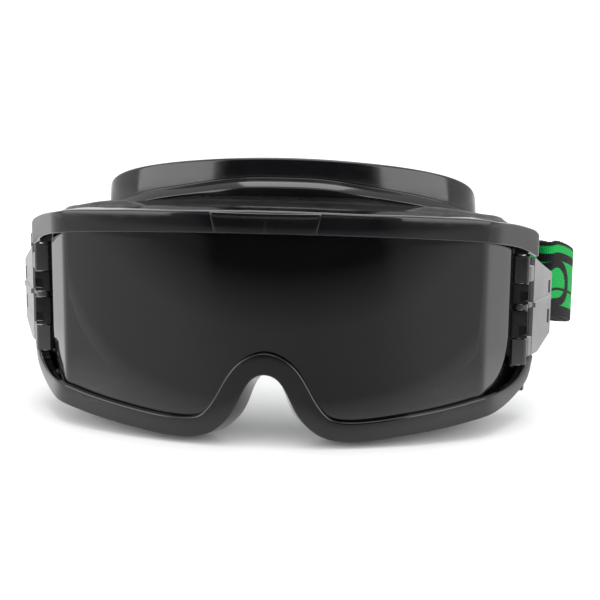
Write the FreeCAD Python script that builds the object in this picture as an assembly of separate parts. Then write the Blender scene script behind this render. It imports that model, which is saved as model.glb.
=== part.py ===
import FreeCAD, Part
import math
import os

# Wide-vision welding goggles, in millimetres. +Z is up, -Y is the way the wearer looks,
# +X is the right-hand side as seen from the front. The shapes are laid out from the front
# centre of the lens and moved at the end, so that the origin is the middle of the base.

VECTOR = FreeCAD.Vector
UP = VECTOR(0, 0, 1)

# ---- driving dimensions -------------------------------------------------------------
DEPTH_CENTRE = 89.7          # lens front to the middle of the overall depth

RIM_RADIUS = 135.0           # plan radius of the front of the frame
RIM_BEND_RADIUS = 17.0       # plan radius where the frame turns to its sides
RIM_SIDE_ANGLE = 62.0        # plan direction of the frame's sides, from across
RIM_FRONT = -2.0             # the frame stands this far in front of the lens
RIM_BEND_START = 31.0        # plan direction where the bend begins

LENS_RADIUS = 133.0
LENS_BEND_RADIUS = 4.0
LENS_BEND_START = 31.6
LENS_SIDE_ANGLE = 64.0
LENS_THICKNESS = 2.2
LENS_HALF_WIDTH = 79.6
LENS_UNDER_LIP = 0.36        # share of the rim's width that covers the lens edge
LENS_BEHIND_RIM = 4.2        # depth of the lens behind the rim's face on the sides
LENS_TOP_CORNER = (79.6, 63.4)

LIP_THICKNESS = 1.7
RIM_DEPTH_FRONT = 13.0
RIM_DEPTH_SIDE = 4.6
RIM_BODY_DEPTH = 4.6
RIM_FLARE = 0.34             # how far the lower wall spreads towards its back, in rim widths
RIM_WALL = 0.74              # the outer wall starts at this share of the rim's width

BADGE_HALF_TOP = 17.9
BADGE_HALF_BOTTOM = 16.5
BADGE_LOW = 70.9
BADGE_HIGH = 77.2
BADGE_STEP = 0.6
BADGE_ROOT = 1.0             # how deep the badge sits in the rim

# Wall behind the lens end and behind the hinge: plan outline and height.
POST_OUTLINE = [
    (71.6, 33.2), (73.7, 32.3), (76.9, 38.9), (80.7, 46.9),
    (85.8, 46.9), (86.4, 50.2), (79.4, 50.2), (75.2, 39.7),
]
POST_HEIGHTS = (9.0, 63.5)

PIN_X = 83.2                 # hinge pin of the strap clip
PIN_Y = 42.4
PIN_RADIUS = 1.5
PIN_CLEARANCE = 0.05
COLUMN_WIDTH = 5.8
COLUMN_DEPTH = 5.9
COLUMN_TOP = 58.2
COLUMN_BOTTOM = 20.2
UPPER_KNUCKLE = (41.6, 48.5)
LOWER_KNUCKLE = (29.6, 39.2)
MIDDLE_LEAF = (39.6, 41.2)
KNUCKLE_GAP = 0.4
CLIP_CORNER = 1.2            # corner radius of the clip's blocks
MOUNT_CORNER = 0.6
WINDOW_SIZE = (2.8, 1.2, 3.4)     # moulding recess in the front of each fixed knuckle
WINDOW_PLACE = (-0.1, 1.1)        # its left edge from the pin, its foot from the knuckle's
MOUNT_BACK = 46.9            # the mount is flat against the side post here
MOUNT_LEFT = 2.5             # the mount's plate, on each side of the pin
MOUNT_RIGHT = 1.8
MOUNT_PLATE = 0.9

WING_THICKNESS = 2.2
WING_START = (87.1, 45.3)
WING_END = (94.3, 61.4)
WING_KINK = 0.33             # the wing's edges start to close in at this share of its length
WING_HEIGHTS = ((57.0, 22.6), (54.2, 22.6), (49.0, 27.2))
WING_SLOTS = ((41.8, 46.6), (31.0, 36.2))
SLOT_WIDTH = 2.0
SLOT_FROM_END = 3.4
RIDGE_LOW = 39.5
RIDGE_WIDTH = 1.7
RIDGE_HEIGHT = 0.8
RIDGE_FROM_END = 2.0

STRAP_WIDTH = 27.5
STRAP_THICKNESS = 1.7
STRAP_BAR_RADIUS = 1.2
STRAP_LOOP_RADIUS = 2.35
BAR_CLEARANCE = 0.5          # between the strap's edges and the rails of its bar
RAIL = 1.7
RAIL_HALF = 1.1
RAIL_ROOT = 8.0              # where the rail leaves the wing, from its front edge
BAR_SHORT = 0.9              # the bar stops this far below the strap's upper edge
STRAP_HIGH = 45.6            # middle of the strap at the clips
STRAP_LOW = 28.6             # middle of the strap round the back
DROOP_FROM = 66.5
DROOP_TO = 150.0
DROOP_POWER = 1.6            # the strap falls fastest just behind the clips
DROOP_EASE = 0.03
SPLIT_DEPTH = 152.0          # the side stretches of the strap end here
LAYER_GAP = 2.1              # between the middles of the two layers

RIGHT_ARC_CENTRE = (37.25, 100.0)
RIGHT_ARC_RADIUS = 67.7
RIGHT_START_ANGLE = 31.1
LEFT_ARC_RADIUS = 134.7
LEFT_START_ANGLE = 26.5
LEFT_CORNER_CENTRE = (-49.95, 125.3)
LEFT_CORNER_RADIUS = 55.0

SLIDE_ANGLE_RIGHT = 66.0
SLIDE_ANGLE_LEFT = 110.0
SLIDE_HALF_LENGTH = 7.0
SLIDE_CLEARANCE = 0.3
SLIDE_BAR = 1.7
SLIDE_RAIL = 2.3
SLIDE_GAP_HALF = 4.4         # half of the opening between the two outer bars
SLIDE_INNER_HALF = 2.0       # half of the inner bar
SLIDE_END_CLEARANCE = 0.4
RIGHT_LAYER_SETTLE = 32.0    # degrees over which the inner layer closes up to the outer one
LEFT_LAYER_SETTLE = 12.0
TAIL_END_RIGHT = 81.0
TAIL_END_LEFT = 90.0

SKIRT_THICKNESS = 2.0
SKIRT_WAIST = 1.2            # the wall is drawn in by this much halfway back
SEAL_OUTWARD = 1.5
SEAL_INWARD = 8.0
SEAL_THICKNESS = 2.4
SEAL_DIP = 1.5               # the seal's inner edge lies this far in front of its outer edge

# Rim outline, right half, from the top centre: (inner x, inner z, outer x, outer z).
UPPER_RIM = [
    (0.0, 70.5, 0.0, 77.9),
    (17.0, 70.3, 17.0, 77.6),
    (32.0, 69.7, 32.0, 76.9),
    (46.0, 68.8, 46.0, 76.2),
    (58.0, 67.7, 58.0, 75.2),
    (68.0, 66.5, 68.0, 74.1),
    (74.5, 65.1, 74.5, 72.6),
    (79.0, 63.3, 79.0, 71.0),
    (83.5, 61.0, 83.5, 69.0),
    (86.6, 58.9, 86.6, 67.3),
    (88.6, 57.2, 88.6, 65.9),
    (90.0, 56.0, 90.0, 64.0),
]
LOWER_RIM = [
    (0.0, 31.8, 0.0, 24.3),
    (4.9, 30.6, 3.0, 23.5),
    (8.6, 28.2, 5.4, 21.2),
    (11.5, 25.0, 7.4, 17.6),
    (14.1, 20.7, 9.5, 13.2),
    (16.6, 16.1, 12.0, 9.3),
    (18.9, 12.7, 15.0, 6.2),
    (21.3, 10.3, 18.4, 3.9),
    (24.2, 9.2, 22.6, 2.5),
    (28.5, 8.8, 28.2, 1.9),
    (36.0, 9.1, 36.0, 2.2),
    (46.2, 10.2, 46.4, 3.3),
    (58.0, 11.7, 58.5, 4.7),
    (66.0, 13.0, 67.0, 6.0),
    (71.0, 13.8, 73.0, 6.9),
    (76.0, 13.9, 79.0, 8.0),
    (80.8, 14.3, 84.0, 10.6),
    (84.0, 15.8, 87.1, 13.4),
    (86.3, 18.6, 88.7, 18.6),
    (87.3, 21.9, 89.3, 21.9),
]
LENS_SIDE = [(78.0, 17.0), (79.0, 23.0)]

# Soft body, right half, from the top centre: front edge x, y, z and face edge x, y, z.
SKIRT = [
    (0.0, 9.0, 75.4, 0.0, 49.0, 74.6),
    (22.0, 10.6, 75.0, 22.0, 51.0, 74.2),
    (44.0, 15.5, 73.8, 42.0, 57.0, 72.4),
    (61.0, 21.5, 72.0, 56.0, 65.0, 69.6),
    (72.2, 32.2, 69.4, 65.5, 74.0, 64.6),
    (80.4, 47.5, 64.8, 70.0, 81.0, 56.0),
    (82.8, 50.7, 52.0, 71.5, 84.0, 45.0),
    (82.8, 50.7, 36.0, 70.0, 83.0, 33.0),
    (81.0, 49.5, 20.5, 66.0, 79.0, 22.0),
    (73.0, 33.4, 13.2, 59.0, 72.0, 14.0),
    (61.0, 23.0, 9.4, 49.0, 64.0, 9.6),
    (46.0, 18.5, 6.6, 38.0, 54.0, 8.6),
    (32.0, 14.8, 5.6, 27.0, 44.0, 12.0),
    (21.5, 12.6, 8.0, 18.0, 35.0, 20.0),
    (12.5, 11.6, 16.6, 11.0, 29.0, 29.0),
    (0.0, 11.0, 28.2, 0.0, 25.0, 37.0),
]

VENT_CENTRE = (50.0, 39.0, 9.5)   # on the outside of the lower wall
VENT_TURN = 34.0
VENT_TILT = 6.0
VENT_CORNER = 3.0
COVER_SIZE = (24.0, 13.0)
COVER_HEIGHTS = (-2.9, -0.3)      # below the wall's outside
GROOVE_COUNT = 5
GROOVE_PITCH = 4.0
GROOVE_SIZE = (1.4, 8.0, 0.6)
CHEEK_SIZE = (20.0, 9.0)
CHEEK_GAP = 0.3                   # between the wall and the filter behind it
CHEEK_THICKNESS = 1.8

# Foam filter under the brow.
BROW_HALF = 34.0
BROW_FRONT = 36.0
BROW_DEPTH = 9.0
BROW_HEIGHTS = (68.2, 70.6)
BROW_BOW = 0.0036

# Vent hood, right half: x, y, base z, band bottom z, band top z, lower wall's step forward.
HOOD = [
    (0.0, 50.0, 76.2, 82.5, 88.8, 5.0),
    (16.0, 51.2, 75.9, 81.8, 88.3, 4.8),
    (32.0, 54.8, 75.0, 78.9, 86.8, 4.0),
    (46.0, 60.2, 72.0, 75.8, 84.6, 3.0),
    (56.0, 66.4, 68.8, 72.6, 82.0, 2.2),
    (63.0, 73.0, 65.2, 69.2, 78.9, 1.6),
    (67.0, 80.0, 61.2, 65.2, 75.0, 1.2),
    (68.2, 86.0, 58.0, 62.0, 71.0, 1.0),
]
HOOD_THICKNESS = 2.6
HOOD_STEP_RISE = 3.2


# ---- plan curves --------------------------------------------------------------------
def plan(x, radius, bend_radius, bend_start, side_angle, front):
    """Depth y and direction angle of a curved front wall at the distance x from its middle."""
    start = math.radians(bend_start)
    end = math.radians(side_angle)
    bend_x = radius * math.sin(start)
    side_x = bend_x + bend_radius * (math.sin(end) - math.sin(start))
    across = abs(x)
    if across <= bend_x:
        angle = math.asin(across / radius)
        return front + radius * (1 - math.cos(angle)), angle
    bend_y = front + radius * (1 - math.cos(start))
    if across <= side_x:
        angle = math.asin(math.sin(start) + (across - bend_x) / bend_radius)
        return bend_y + bend_radius * (math.cos(start) - math.cos(angle)), angle
    side_y = bend_y + bend_radius * (math.cos(start) - math.cos(end))
    return side_y + (across - side_x) * math.tan(end), end


def rim_plan(x):
    return plan(x, RIM_RADIUS, RIM_BEND_RADIUS, RIM_BEND_START, RIM_SIDE_ANGLE, RIM_FRONT)


def lens_plan(x):
    return plan(x, LENS_RADIUS, LENS_BEND_RADIUS, LENS_BEND_START, LENS_SIDE_ANGLE, 0.0)


def inward(x, z, depth, plan_of):
    """Point that lies the given depth behind a curved front wall."""
    y, angle = plan_of(x)
    side = math.copysign(1.0, x) if x else 0.0
    return VECTOR(x - side * depth * math.sin(angle), y + depth * math.cos(angle), z)


def rim_depth(x):
    """Depth of the rim's wall, which is shallower on the sides than in front."""
    turned = rim_plan(x)[1] / math.radians(RIM_SIDE_ANGLE)
    return RIM_DEPTH_FRONT + (RIM_DEPTH_SIDE - RIM_DEPTH_FRONT) * turned ** 2


# ---- solids from rows of points -----------------------------------------------------
def spacing(rows, closed):
    """Curve parameters shared by rows of points: the mean distance from station to station."""
    values = [0.0]
    count = len(rows[0])
    for i in range(count if closed else count - 1):
        steps = [row[(i + 1) % count].distanceToPoint(row[i]) for row in rows]
        values.append(values[-1] + sum(steps) / len(steps))
    return values


def smooth_edge(points, closed, parameters):
    curve = Part.BSplineCurve()
    curve.interpolate(Points=points, PeriodicFlag=closed, Parameters=parameters)
    return curve.toShape()


def solid_from(faces):
    shell = Part.makeShell(faces)
    shell.sewShape()
    solid = Part.makeSolid(shell)
    if solid.Volume < 0:
        solid.reverse()
    return solid


def skin(rows, closed=False):
    """Solid whose corners run along the rows of points: a ring, or a strip with flat ends."""
    parameters = spacing(rows, closed)
    edges = [smooth_edge(row, closed, parameters) for row in rows]
    faces = [Part.makeRuledSurface(edges[i - 1], edges[i]) for i in range(len(edges))]
    if not closed:
        for end in (0, -1):
            corners = [row[end] for row in rows]
            faces.append(Part.Face(Part.makePolygon(corners + [corners[0]])))
    return solid_from(faces)


def flipped(station, signed):
    return tuple(-value if i in signed else value for i, value in enumerate(station))


def mirrored(stations, signed):
    """Whole run of stations from its right half; the columns in signed change sign with x."""
    return [flipped(s, signed) for s in reversed(stations[1:])] + list(stations)


def ring_of(stations, signed):
    """Closed run of stations from a right half that starts and ends on the middle plane."""
    return list(stations) + [flipped(s, signed) for s in reversed(stations[1:-1])]


def mirror_x(shape):
    return shape.mirror(VECTOR(0, 0, 0), VECTOR(1, 0, 0))


def prism(corners, low, high):
    """Upright prism over a plan outline of (x, y) corners."""
    points = [VECTOR(x, y, low) for x, y in corners]
    return Part.Face(Part.makePolygon(points + [points[0]])).extrude(UP * (high - low))


def largest(shape):
    return max(shape.Solids, key=lambda solid: solid.Volume)


# ---- front frame --------------------------------------------------------------------
def rim_strip(stations, flare):
    """One band of the rim. A corner of its section is a share of the width and a depth."""
    def row(share, depth_of):
        points = []
        for xi, zi, xo, zo in stations:
            x = xi + share * (xo - xi)
            z = zi + share * (zo - zi)
            points.append(inward(x, z, depth_of(x), rim_plan))
        return points

    def body_of(x):
        return min(RIM_BODY_DEPTH, rim_depth(x) - 0.4)

    section = [
        (0.0, lambda x: LIP_THICKNESS),
        (0.0, lambda x: 0.5),
        (0.08, lambda x: 0.0),
        (0.84, lambda x: 0.0),
        (1.0, lambda x: 1.2),
        (1.0 + flare, rim_depth),
        (RIM_WALL + flare, rim_depth),
        (RIM_WALL, body_of),
        (LENS_UNDER_LIP + 0.04, body_of),
        (LENS_UNDER_LIP + 0.04, lambda x: LIP_THICKNESS),
    ]
    return skin([row(share, depth_of) for share, depth_of in section])


def badge_pad():
    """Blank raised pad on the top centre of the rim."""
    tall = [VECTOR(-BADGE_HALF_BOTTOM, -20, BADGE_LOW), VECTOR(BADGE_HALF_BOTTOM, -20, BADGE_LOW),
            VECTOR(BADGE_HALF_TOP, -20, BADGE_HIGH), VECTOR(-BADGE_HALF_TOP, -20, BADGE_HIGH)]
    block = Part.Face(Part.makePolygon(tall + [tall[0]])).extrude(VECTOR(0, 40, 0))
    middle = VECTOR(0, RIM_FRONT + RIM_RADIUS, BADGE_LOW - 5)
    outer = Part.makeCylinder(RIM_RADIUS + BADGE_STEP, 20, middle, UP)
    inner = Part.makeCylinder(RIM_RADIUS - BADGE_ROOT, 20, middle, UP)
    return outer.cut(inner).common(block)


def side_post():
    """Wall behind the lens end and behind the hinge, which joins the two bands."""
    return prism(POST_OUTLINE, *POST_HEIGHTS)


def front_frame():
    upper = rim_strip(mirrored(UPPER_RIM, (0, 2)), 0.0)
    lower = rim_strip(mirrored(LOWER_RIM, (0, 2)), RIM_FLARE)
    post = side_post()
    frame = upper.fuse([lower, badge_pad(), post, mirror_x(post)])
    floor = Part.makeBox(400, 400, 20, VECTOR(-200, -200, -20))
    return largest(frame.cut(floor))


# ---- lens ---------------------------------------------------------------------------
def lens_outline():
    def under_lip(stations):
        points = []
        for xi, zi, xo, zo in stations:
            x = xi + LENS_UNDER_LIP * (xo - xi)
            turned = rim_plan(x)[1]
            x -= LENS_BEHIND_RIM * math.sin(turned)
            if x < LENS_HALF_WIDTH - 1.5:
                points.append((x, zi + LENS_UNDER_LIP * (zo - zi)))
        return points

    upper = under_lip(UPPER_RIM) + [LENS_TOP_CORNER]
    lower = [p for p in under_lip(LOWER_RIM) if p[0] < LENS_SIDE[0][0] - 4] + LENS_SIDE[:1]
    side = [LENS_TOP_CORNER, (LENS_HALF_WIDTH, 28.0), LENS_SIDE[1], LENS_SIDE[0]]

    def both(points):
        left = [(-x, z) for x, z in reversed(points[1:])]
        return [VECTOR(x, 0, z) for x, z in left + points]

    edges = [smooth_edge(both(row), False, spacing([both(row)], False)) for row in (upper, lower)]
    for sign in (1, -1):
        points = [VECTOR(sign * x, 0, z) for x, z in side]
        edges += [Part.makeLine(a, b) for a, b in zip(points, points[1:])]
    return Part.Face(Part.Wire(Part.__sortEdges__(edges)))


def lens():
    count = 80
    xs = [LENS_HALF_WIDTH * i / count for i in range(-count, count + 1)]
    outer = [inward(x, 0, 0, lens_plan) for x in xs]
    back = [inward(x, 0, LENS_THICKNESS, lens_plan) for x in xs]
    front_edge = smooth_edge(outer, False, spacing([outer], False))
    back_edge = smooth_edge(back, False, spacing([back], False))
    ends = [Part.makeLine(outer[0], back[0]), Part.makeLine(outer[-1], back[-1])]
    pane = Part.Face(Part.Wire(Part.__sortEdges__([front_edge, back_edge] + ends)))
    pane = pane.extrude(UP * 100)
    shape = lens_outline()
    shape.translate(VECTOR(0, -10, 0))
    return largest(pane.common(shape.extrude(VECTOR(0, 80, 0))))


# ---- soft body and face seal --------------------------------------------------------
def inward_offsets(points, distance):
    """Move each point of a closed outline towards its inside, across the view from the front."""
    moved = []
    count = len(points)
    for i, point in enumerate(points):
        before = points[i - 1]
        after = points[(i + 1) % count]
        run = VECTOR(after.x - before.x, 0, after.z - before.z)
        run.normalize()
        moved.append(VECTOR(point.x + run.z * distance, point.y, point.z - run.x * distance))
    return moved


def skirt_rings():
    stations = ring_of(SKIRT, (0, 3))
    front = [VECTOR(s[0], s[1], s[2]) for s in stations]
    face = [VECTOR(s[3], s[4], s[5]) for s in stations]
    return front, face


def soft_skirt():
    front, face = skirt_rings()
    waist = [(f + b) * 0.5 for f, b in zip(front, face)]
    waist = inward_offsets(waist, SKIRT_WAIST)
    rows = [front, waist, face]
    inner = [inward_offsets(row, SKIRT_THICKNESS) for row in rows]
    return skin(rows + inner[::-1], closed=True)


def face_seal():
    face = skirt_rings()[1]
    lift = VECTOR(0, SEAL_THICKNESS, 0)
    outer = inward_offsets(face, -SEAL_OUTWARD)
    inner = inward_offsets(face, SEAL_INWARD)
    inner = [p - VECTOR(0, SEAL_DIP, 0) for p in inner]
    return skin([outer, [p + lift for p in outer], [p + lift for p in inner], inner], closed=True)


# ---- vents --------------------------------------------------------------------------
def hood_rows(offsets):
    """Rows of points along the hood: offset forward and height, each given by station."""
    stations = mirrored(HOOD, (0,))
    points = [VECTOR(s[0], s[1], 0) for s in stations]
    rows = []
    for forward_of, height_of in offsets:
        row = []
        for i, station in enumerate(stations):
            before = points[max(i - 1, 0)]
            after = points[min(i + 1, len(points) - 1)]
            run = (after - before).normalize()
            forward = VECTOR(run.y, -run.x, 0)
            point = points[i] + forward * forward_of(station)
            row.append(VECTOR(point.x, point.y, height_of(station)))
        rows.append(row)
    return rows


def vent_hood():
    return skin(hood_rows([
        (lambda s: s[5], lambda s: s[2]),
        (lambda s: s[5], lambda s: s[3] - HOOD_STEP_RISE),
        (lambda s: 0.5, lambda s: s[3]),
        (lambda s: 0.0, lambda s: s[4]),
        (lambda s: -HOOD_THICKNESS, lambda s: s[4]),
        (lambda s: -HOOD_THICKNESS, lambda s: s[2]),
    ]))


def upper_vent_filter():
    """Flat slab that follows the forehead's curve."""
    count = 6
    xs = [BROW_HALF * i / count for i in range(-count, count + 1)]
    low, high = BROW_HEIGHTS
    back = BROW_FRONT + BROW_DEPTH
    rows = []
    for y, z in ((BROW_FRONT, low), (BROW_FRONT, high), (back, high), (back, low)):
        rows.append([VECTOR(x, y + BROW_BOW * x * x, z) for x in xs])
    return skin(rows)


def to_cheek(shape):
    """Turn and tilt a flat piece to lie along the lower right wall of the soft body."""
    shape.rotate(VECTOR(0, 0, 0), UP, VENT_TURN)
    shape.rotate(VECTOR(0, 0, 0), VECTOR(0, 1, 0), -VENT_TILT)
    shape.translate(VECTOR(*VENT_CENTRE))
    return shape


def upright_edges(shape):
    return [e for e in shape.Edges if abs(e.Vertexes[0].Z - e.Vertexes[1].Z) > 0.5]


def vent_slab(size, low, high):
    slab = Part.makeBox(size[0], size[1], high - low, VECTOR(-size[0] / 2, -size[1] / 2, low))
    return slab.makeFillet(VENT_CORNER, upright_edges(slab))


def lower_vent_cover():
    cover = vent_slab(COVER_SIZE, *COVER_HEIGHTS)
    length, width, depth = GROOVE_SIZE
    for i in range(GROOVE_COUNT):
        middle = (i - (GROOVE_COUNT - 1) / 2) * GROOVE_PITCH
        corner = VECTOR(middle - length / 2, -width / 2, COVER_HEIGHTS[0] - 1)
        cover = cover.cut(Part.makeBox(length, width, 1 + depth, corner))
    return to_cheek(cover)


def lower_vent_filter():
    wall = SKIRT_THICKNESS + CHEEK_GAP
    return to_cheek(vent_slab(CHEEK_SIZE, wall, wall + CHEEK_THICKNESS))


# ---- hinge and strap clip, right side -----------------------------------------------
def knuckle(low, high, corner):
    """Rounded block of the hinge column."""
    block = Part.makeBox(COLUMN_WIDTH, COLUMN_DEPTH, high - low,
                         VECTOR(PIN_X - COLUMN_WIDTH / 2, PIN_Y - COLUMN_DEPTH / 2, low))
    return block.makeFillet(corner, upright_edges(block))


def pin_hole(low, high, clearance):
    return Part.makeCylinder(PIN_RADIUS + clearance, high - low, VECTOR(PIN_X, PIN_Y, low), UP)


def mount_slab(front, low, high):
    left, right = PIN_X - MOUNT_LEFT, PIN_X + MOUNT_RIGHT
    return prism([(left, front), (right, front), (right, MOUNT_BACK), (left, MOUNT_BACK)], low, high)


def hinge_mount():
    """Two fixed knuckles on a plate at the frame's side."""
    body = mount_slab(MOUNT_BACK - MOUNT_PLATE, LOWER_KNUCKLE[0], UPPER_KNUCKLE[1])
    width, depth, height = WINDOW_SIZE
    for low, high in (UPPER_KNUCKLE, LOWER_KNUCKLE):
        block = knuckle(low, high, MOUNT_CORNER).fuse(mount_slab(PIN_Y, low, high))
        corner = VECTOR(PIN_X + WINDOW_PLACE[0], PIN_Y - COLUMN_DEPTH / 2 - 1, low + WINDOW_PLACE[1])
        body = body.fuse(block.cut(Part.makeBox(width, 1 + depth, height, corner)))
    return body.removeSplitter().cut(pin_hole(0, 80, 0.0))


def hinge_pin():
    return pin_hole(COLUMN_BOTTOM - 0.6, COLUMN_TOP + 0.4, 0.0)


WING_RUN = VECTOR(WING_END[0] - WING_START[0], WING_END[1] - WING_START[1], 0)
WING_LENGTH = WING_RUN.Length
WING_ANGLE = math.degrees(math.atan2(WING_RUN.x, WING_RUN.y))


def on_wing(low, high, first, last, front, back):
    """Upright block over a stretch of the wing, between two offsets to the wing's outside."""
    block = Part.makeBox(last - first, front - back, high - low, VECTOR(first, -front, low))
    block.rotate(VECTOR(0, 0, 0), UP, 90 - WING_ANGLE)
    block.translate(VECTOR(*WING_START, 0))
    return block


def wing():
    """Flared plate with its bevelled outline, two slots and the ridge along its middle."""
    along = WING_RUN * (1 / WING_LENGTH)
    out = VECTOR(along.y, -along.x, 0) * (WING_THICKNESS / 2)
    inner = VECTOR(*WING_START, 0) - out
    stations = (0.0, WING_KINK * WING_LENGTH, WING_LENGTH)
    top = [inner + along * d + UP * high for d, (high, low) in zip(stations, WING_HEIGHTS)]
    bottom = [inner + along * d + UP * low for d, (high, low) in zip(stations, WING_HEIGHTS)]
    outline = top + bottom[::-1]
    plate = Part.Face(Part.makePolygon(outline + [outline[0]])).extrude(out * 2)
    slot_start = WING_LENGTH - SLOT_FROM_END
    for low, high in WING_SLOTS:
        plate = plate.cut(on_wing(low, high, slot_start, slot_start + SLOT_WIDTH, 4.0, -4.0))
    ridge = on_wing(RIDGE_LOW, RIDGE_LOW + RIDGE_WIDTH, 0, WING_LENGTH - RIDGE_FROM_END,
                    WING_THICKNESS / 2 + RIDGE_HEIGHT, -WING_THICKNESS / 2)
    return plate.fuse(ridge)


def strap_bar(centre):
    """Upright hook at the back of the clip that the strap's loop slips over, and its rail."""
    low = STRAP_HIGH - STRAP_WIDTH / 2 - BAR_CLEARANCE
    high = STRAP_HIGH + STRAP_WIDTH / 2 - BAR_SHORT
    foot = VECTOR(centre.x, centre.y, low - RAIL)
    bar = Part.makeCylinder(STRAP_BAR_RADIUS, high - foot.z, foot, UP)
    root = VECTOR(*WING_START, 0) + WING_RUN * (RAIL_ROOT / WING_LENGTH)
    side = (centre - root).normalize()
    across = VECTOR(side.y, -side.x, 0) * RAIL_HALF
    corners = [root + across, centre + across, centre - across, root - across]
    rail = prism([(p.x, p.y) for p in corners], low - RAIL, low)
    return bar.fuse(rail)


def strap_clip(bar_centre):
    """Swinging clip: two end blocks and a middle leaf on the pin, the wing and the strap's bar."""
    x, y = WING_START
    blocks = []
    for low, high in ((UPPER_KNUCKLE[1] + KNUCKLE_GAP, COLUMN_TOP),
                      (COLUMN_BOTTOM, LOWER_KNUCKLE[0] - KNUCKLE_GAP)):
        blocks.append(knuckle(low, high, CLIP_CORNER))
        web = [(PIN_X + 1.0, PIN_Y + 2.9), (PIN_X + 2.9, PIN_Y - 0.6),
               (x + 1.4, y + 0.6), (x - 0.2, y + 1.6)]
        blocks.append(prism(web, max(low, WING_HEIGHTS[0][1]), min(high, WING_HEIGHTS[1][0])))
    foot = VECTOR(PIN_X, PIN_Y, MIDDLE_LEAF[0])
    leaf = Part.makeCylinder(COLUMN_WIDTH / 2, MIDDLE_LEAF[1] - MIDDLE_LEAF[0], foot, UP)
    arm = [(PIN_X + 1.5, PIN_Y - 1.2), (x + 1.2, y + 0.4), (x - 0.4, y + 1.2), (PIN_X, PIN_Y + 2.2)]
    clip = wing().fuse(blocks + [leaf, prism(arm, *MIDDLE_LEAF), strap_bar(bar_centre)])
    return largest(clip.removeSplitter().cut(pin_hole(0, 80, PIN_CLEARANCE)))


# ---- strap --------------------------------------------------------------------------
def on_circle(centre, radius, degrees):
    angle = math.radians(degrees)
    return VECTOR(centre[0] + radius * math.cos(angle), centre[1] + radius * math.sin(angle), 0)


def arc(centre, radius, first, last, offset=None, step=1.7):
    """Stations (point, outward direction) along an arc, with an inward offset by angle."""
    count = max(2, int(math.radians(abs(last - first)) * radius / step))
    stations = []
    for i in range(count + 1):
        degrees = first + (last - first) * i / count
        back = offset(degrees) if offset else 0.0
        stations.append((on_circle(centre, radius - back, degrees), on_circle((0, 0), 1.0, degrees)))
    return stations


LEFT_SIDE_X = LEFT_CORNER_CENTRE[0] - LEFT_CORNER_RADIUS + LEFT_ARC_RADIUS
LEFT_SIDE_CENTRE = (LEFT_SIDE_X, LEFT_CORNER_CENTRE[1])


def tangent_angle():
    """Direction of the straight back stretch's outward normal."""
    dx = LEFT_CORNER_CENTRE[0] - RIGHT_ARC_CENTRE[0]
    dy = LEFT_CORNER_CENTRE[1] - RIGHT_ARC_CENTRE[1]
    distance = math.hypot(dx, dy)
    lean = math.asin((RIGHT_ARC_RADIUS - LEFT_CORNER_RADIUS) / distance)
    return math.degrees(math.atan2(dy, dx) - math.pi / 2 + lean)


def strap_height(y):
    """Middle height of the strap, which droops smoothly from the clips to the back."""
    t = min(max((y - DROOP_FROM) / (DROOP_TO - DROOP_FROM), 0.0), 1.0)
    eased = t * t / (t + DROOP_EASE) * (1 + DROOP_EASE)
    return STRAP_LOW + (STRAP_HIGH - STRAP_LOW) * max(0.0, 1 - eased) ** DROOP_POWER


def ribbon(stations):
    """Strap layer along its middle line: four corner rows, flat ends."""
    rows = [[], [], [], []]
    for point, outward in stations:
        middle = strap_height(point.y)
        for row, side, up in zip(rows, (1, 1, -1, -1), (-1, 1, 1, -1)):
            corner = point + outward * (side * STRAP_THICKNESS / 2)
            row.append(VECTOR(corner.x, corner.y, middle + up * STRAP_WIDTH / 2))
    return skin(rows)


def turn_round(bar, outward_degrees):
    """Half turn of the strap round the clip's bar, open towards the back."""
    low = STRAP_HIGH - STRAP_WIDTH / 2
    foot = VECTOR(bar.x, bar.y, low)
    outer = Part.makeCylinder(STRAP_LOOP_RADIUS + STRAP_THICKNESS / 2, STRAP_WIDTH, foot, UP)
    inner = Part.makeCylinder(STRAP_LOOP_RADIUS - STRAP_THICKNESS / 2, STRAP_WIDTH, foot, UP)
    front = Part.makeBox(20, 20, STRAP_WIDTH, VECTOR(-10, -20, low))
    front.rotate(VECTOR(0, 0, 0), UP, outward_degrees)
    front.translate(VECTOR(bar.x, bar.y, 0))
    return outer.cut(inner).common(front)


def layer_offset(first, settle):
    """Inner layer's offset: wide where it leaves the bar, then close to the outer layer."""
    def offset(degrees):
        t = min(abs(degrees - first) / settle, 1.0)
        ease = t * t * (3 - 2 * t)
        return 2 * STRAP_LOOP_RADIUS + (LAYER_GAP - 2 * STRAP_LOOP_RADIUS) * ease
    return offset


RIGHT_BAR = on_circle(RIGHT_ARC_CENTRE, RIGHT_ARC_RADIUS - STRAP_LOOP_RADIUS, -RIGHT_START_ANGLE)
LEFT_FIRST = 180 + LEFT_START_ANGLE
LEFT_BAR = on_circle(LEFT_SIDE_CENTRE, LEFT_ARC_RADIUS - STRAP_LOOP_RADIUS, LEFT_FIRST)


def split_angle(centre, radius):
    return math.degrees(math.asin((SPLIT_DEPTH - centre[1]) / radius))


RIGHT_SPLIT = split_angle(RIGHT_ARC_CENTRE, RIGHT_ARC_RADIUS)
LEFT_SPLIT = 180 - split_angle(LEFT_CORNER_CENTRE, LEFT_CORNER_RADIUS)


def headband_right():
    side = arc(RIGHT_ARC_CENTRE, RIGHT_ARC_RADIUS, -RIGHT_START_ANGLE, RIGHT_SPLIT)
    return ribbon(side).fuse(turn_round(RIGHT_BAR, -RIGHT_START_ANGLE))


def headband_left():
    side = arc(LEFT_SIDE_CENTRE, LEFT_ARC_RADIUS, LEFT_FIRST, 180)
    corner = arc(LEFT_CORNER_CENTRE, LEFT_CORNER_RADIUS, 180, LEFT_SPLIT)
    return ribbon(side + corner[1:]).fuse(turn_round(LEFT_BAR, LEFT_FIRST - 180))


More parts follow.
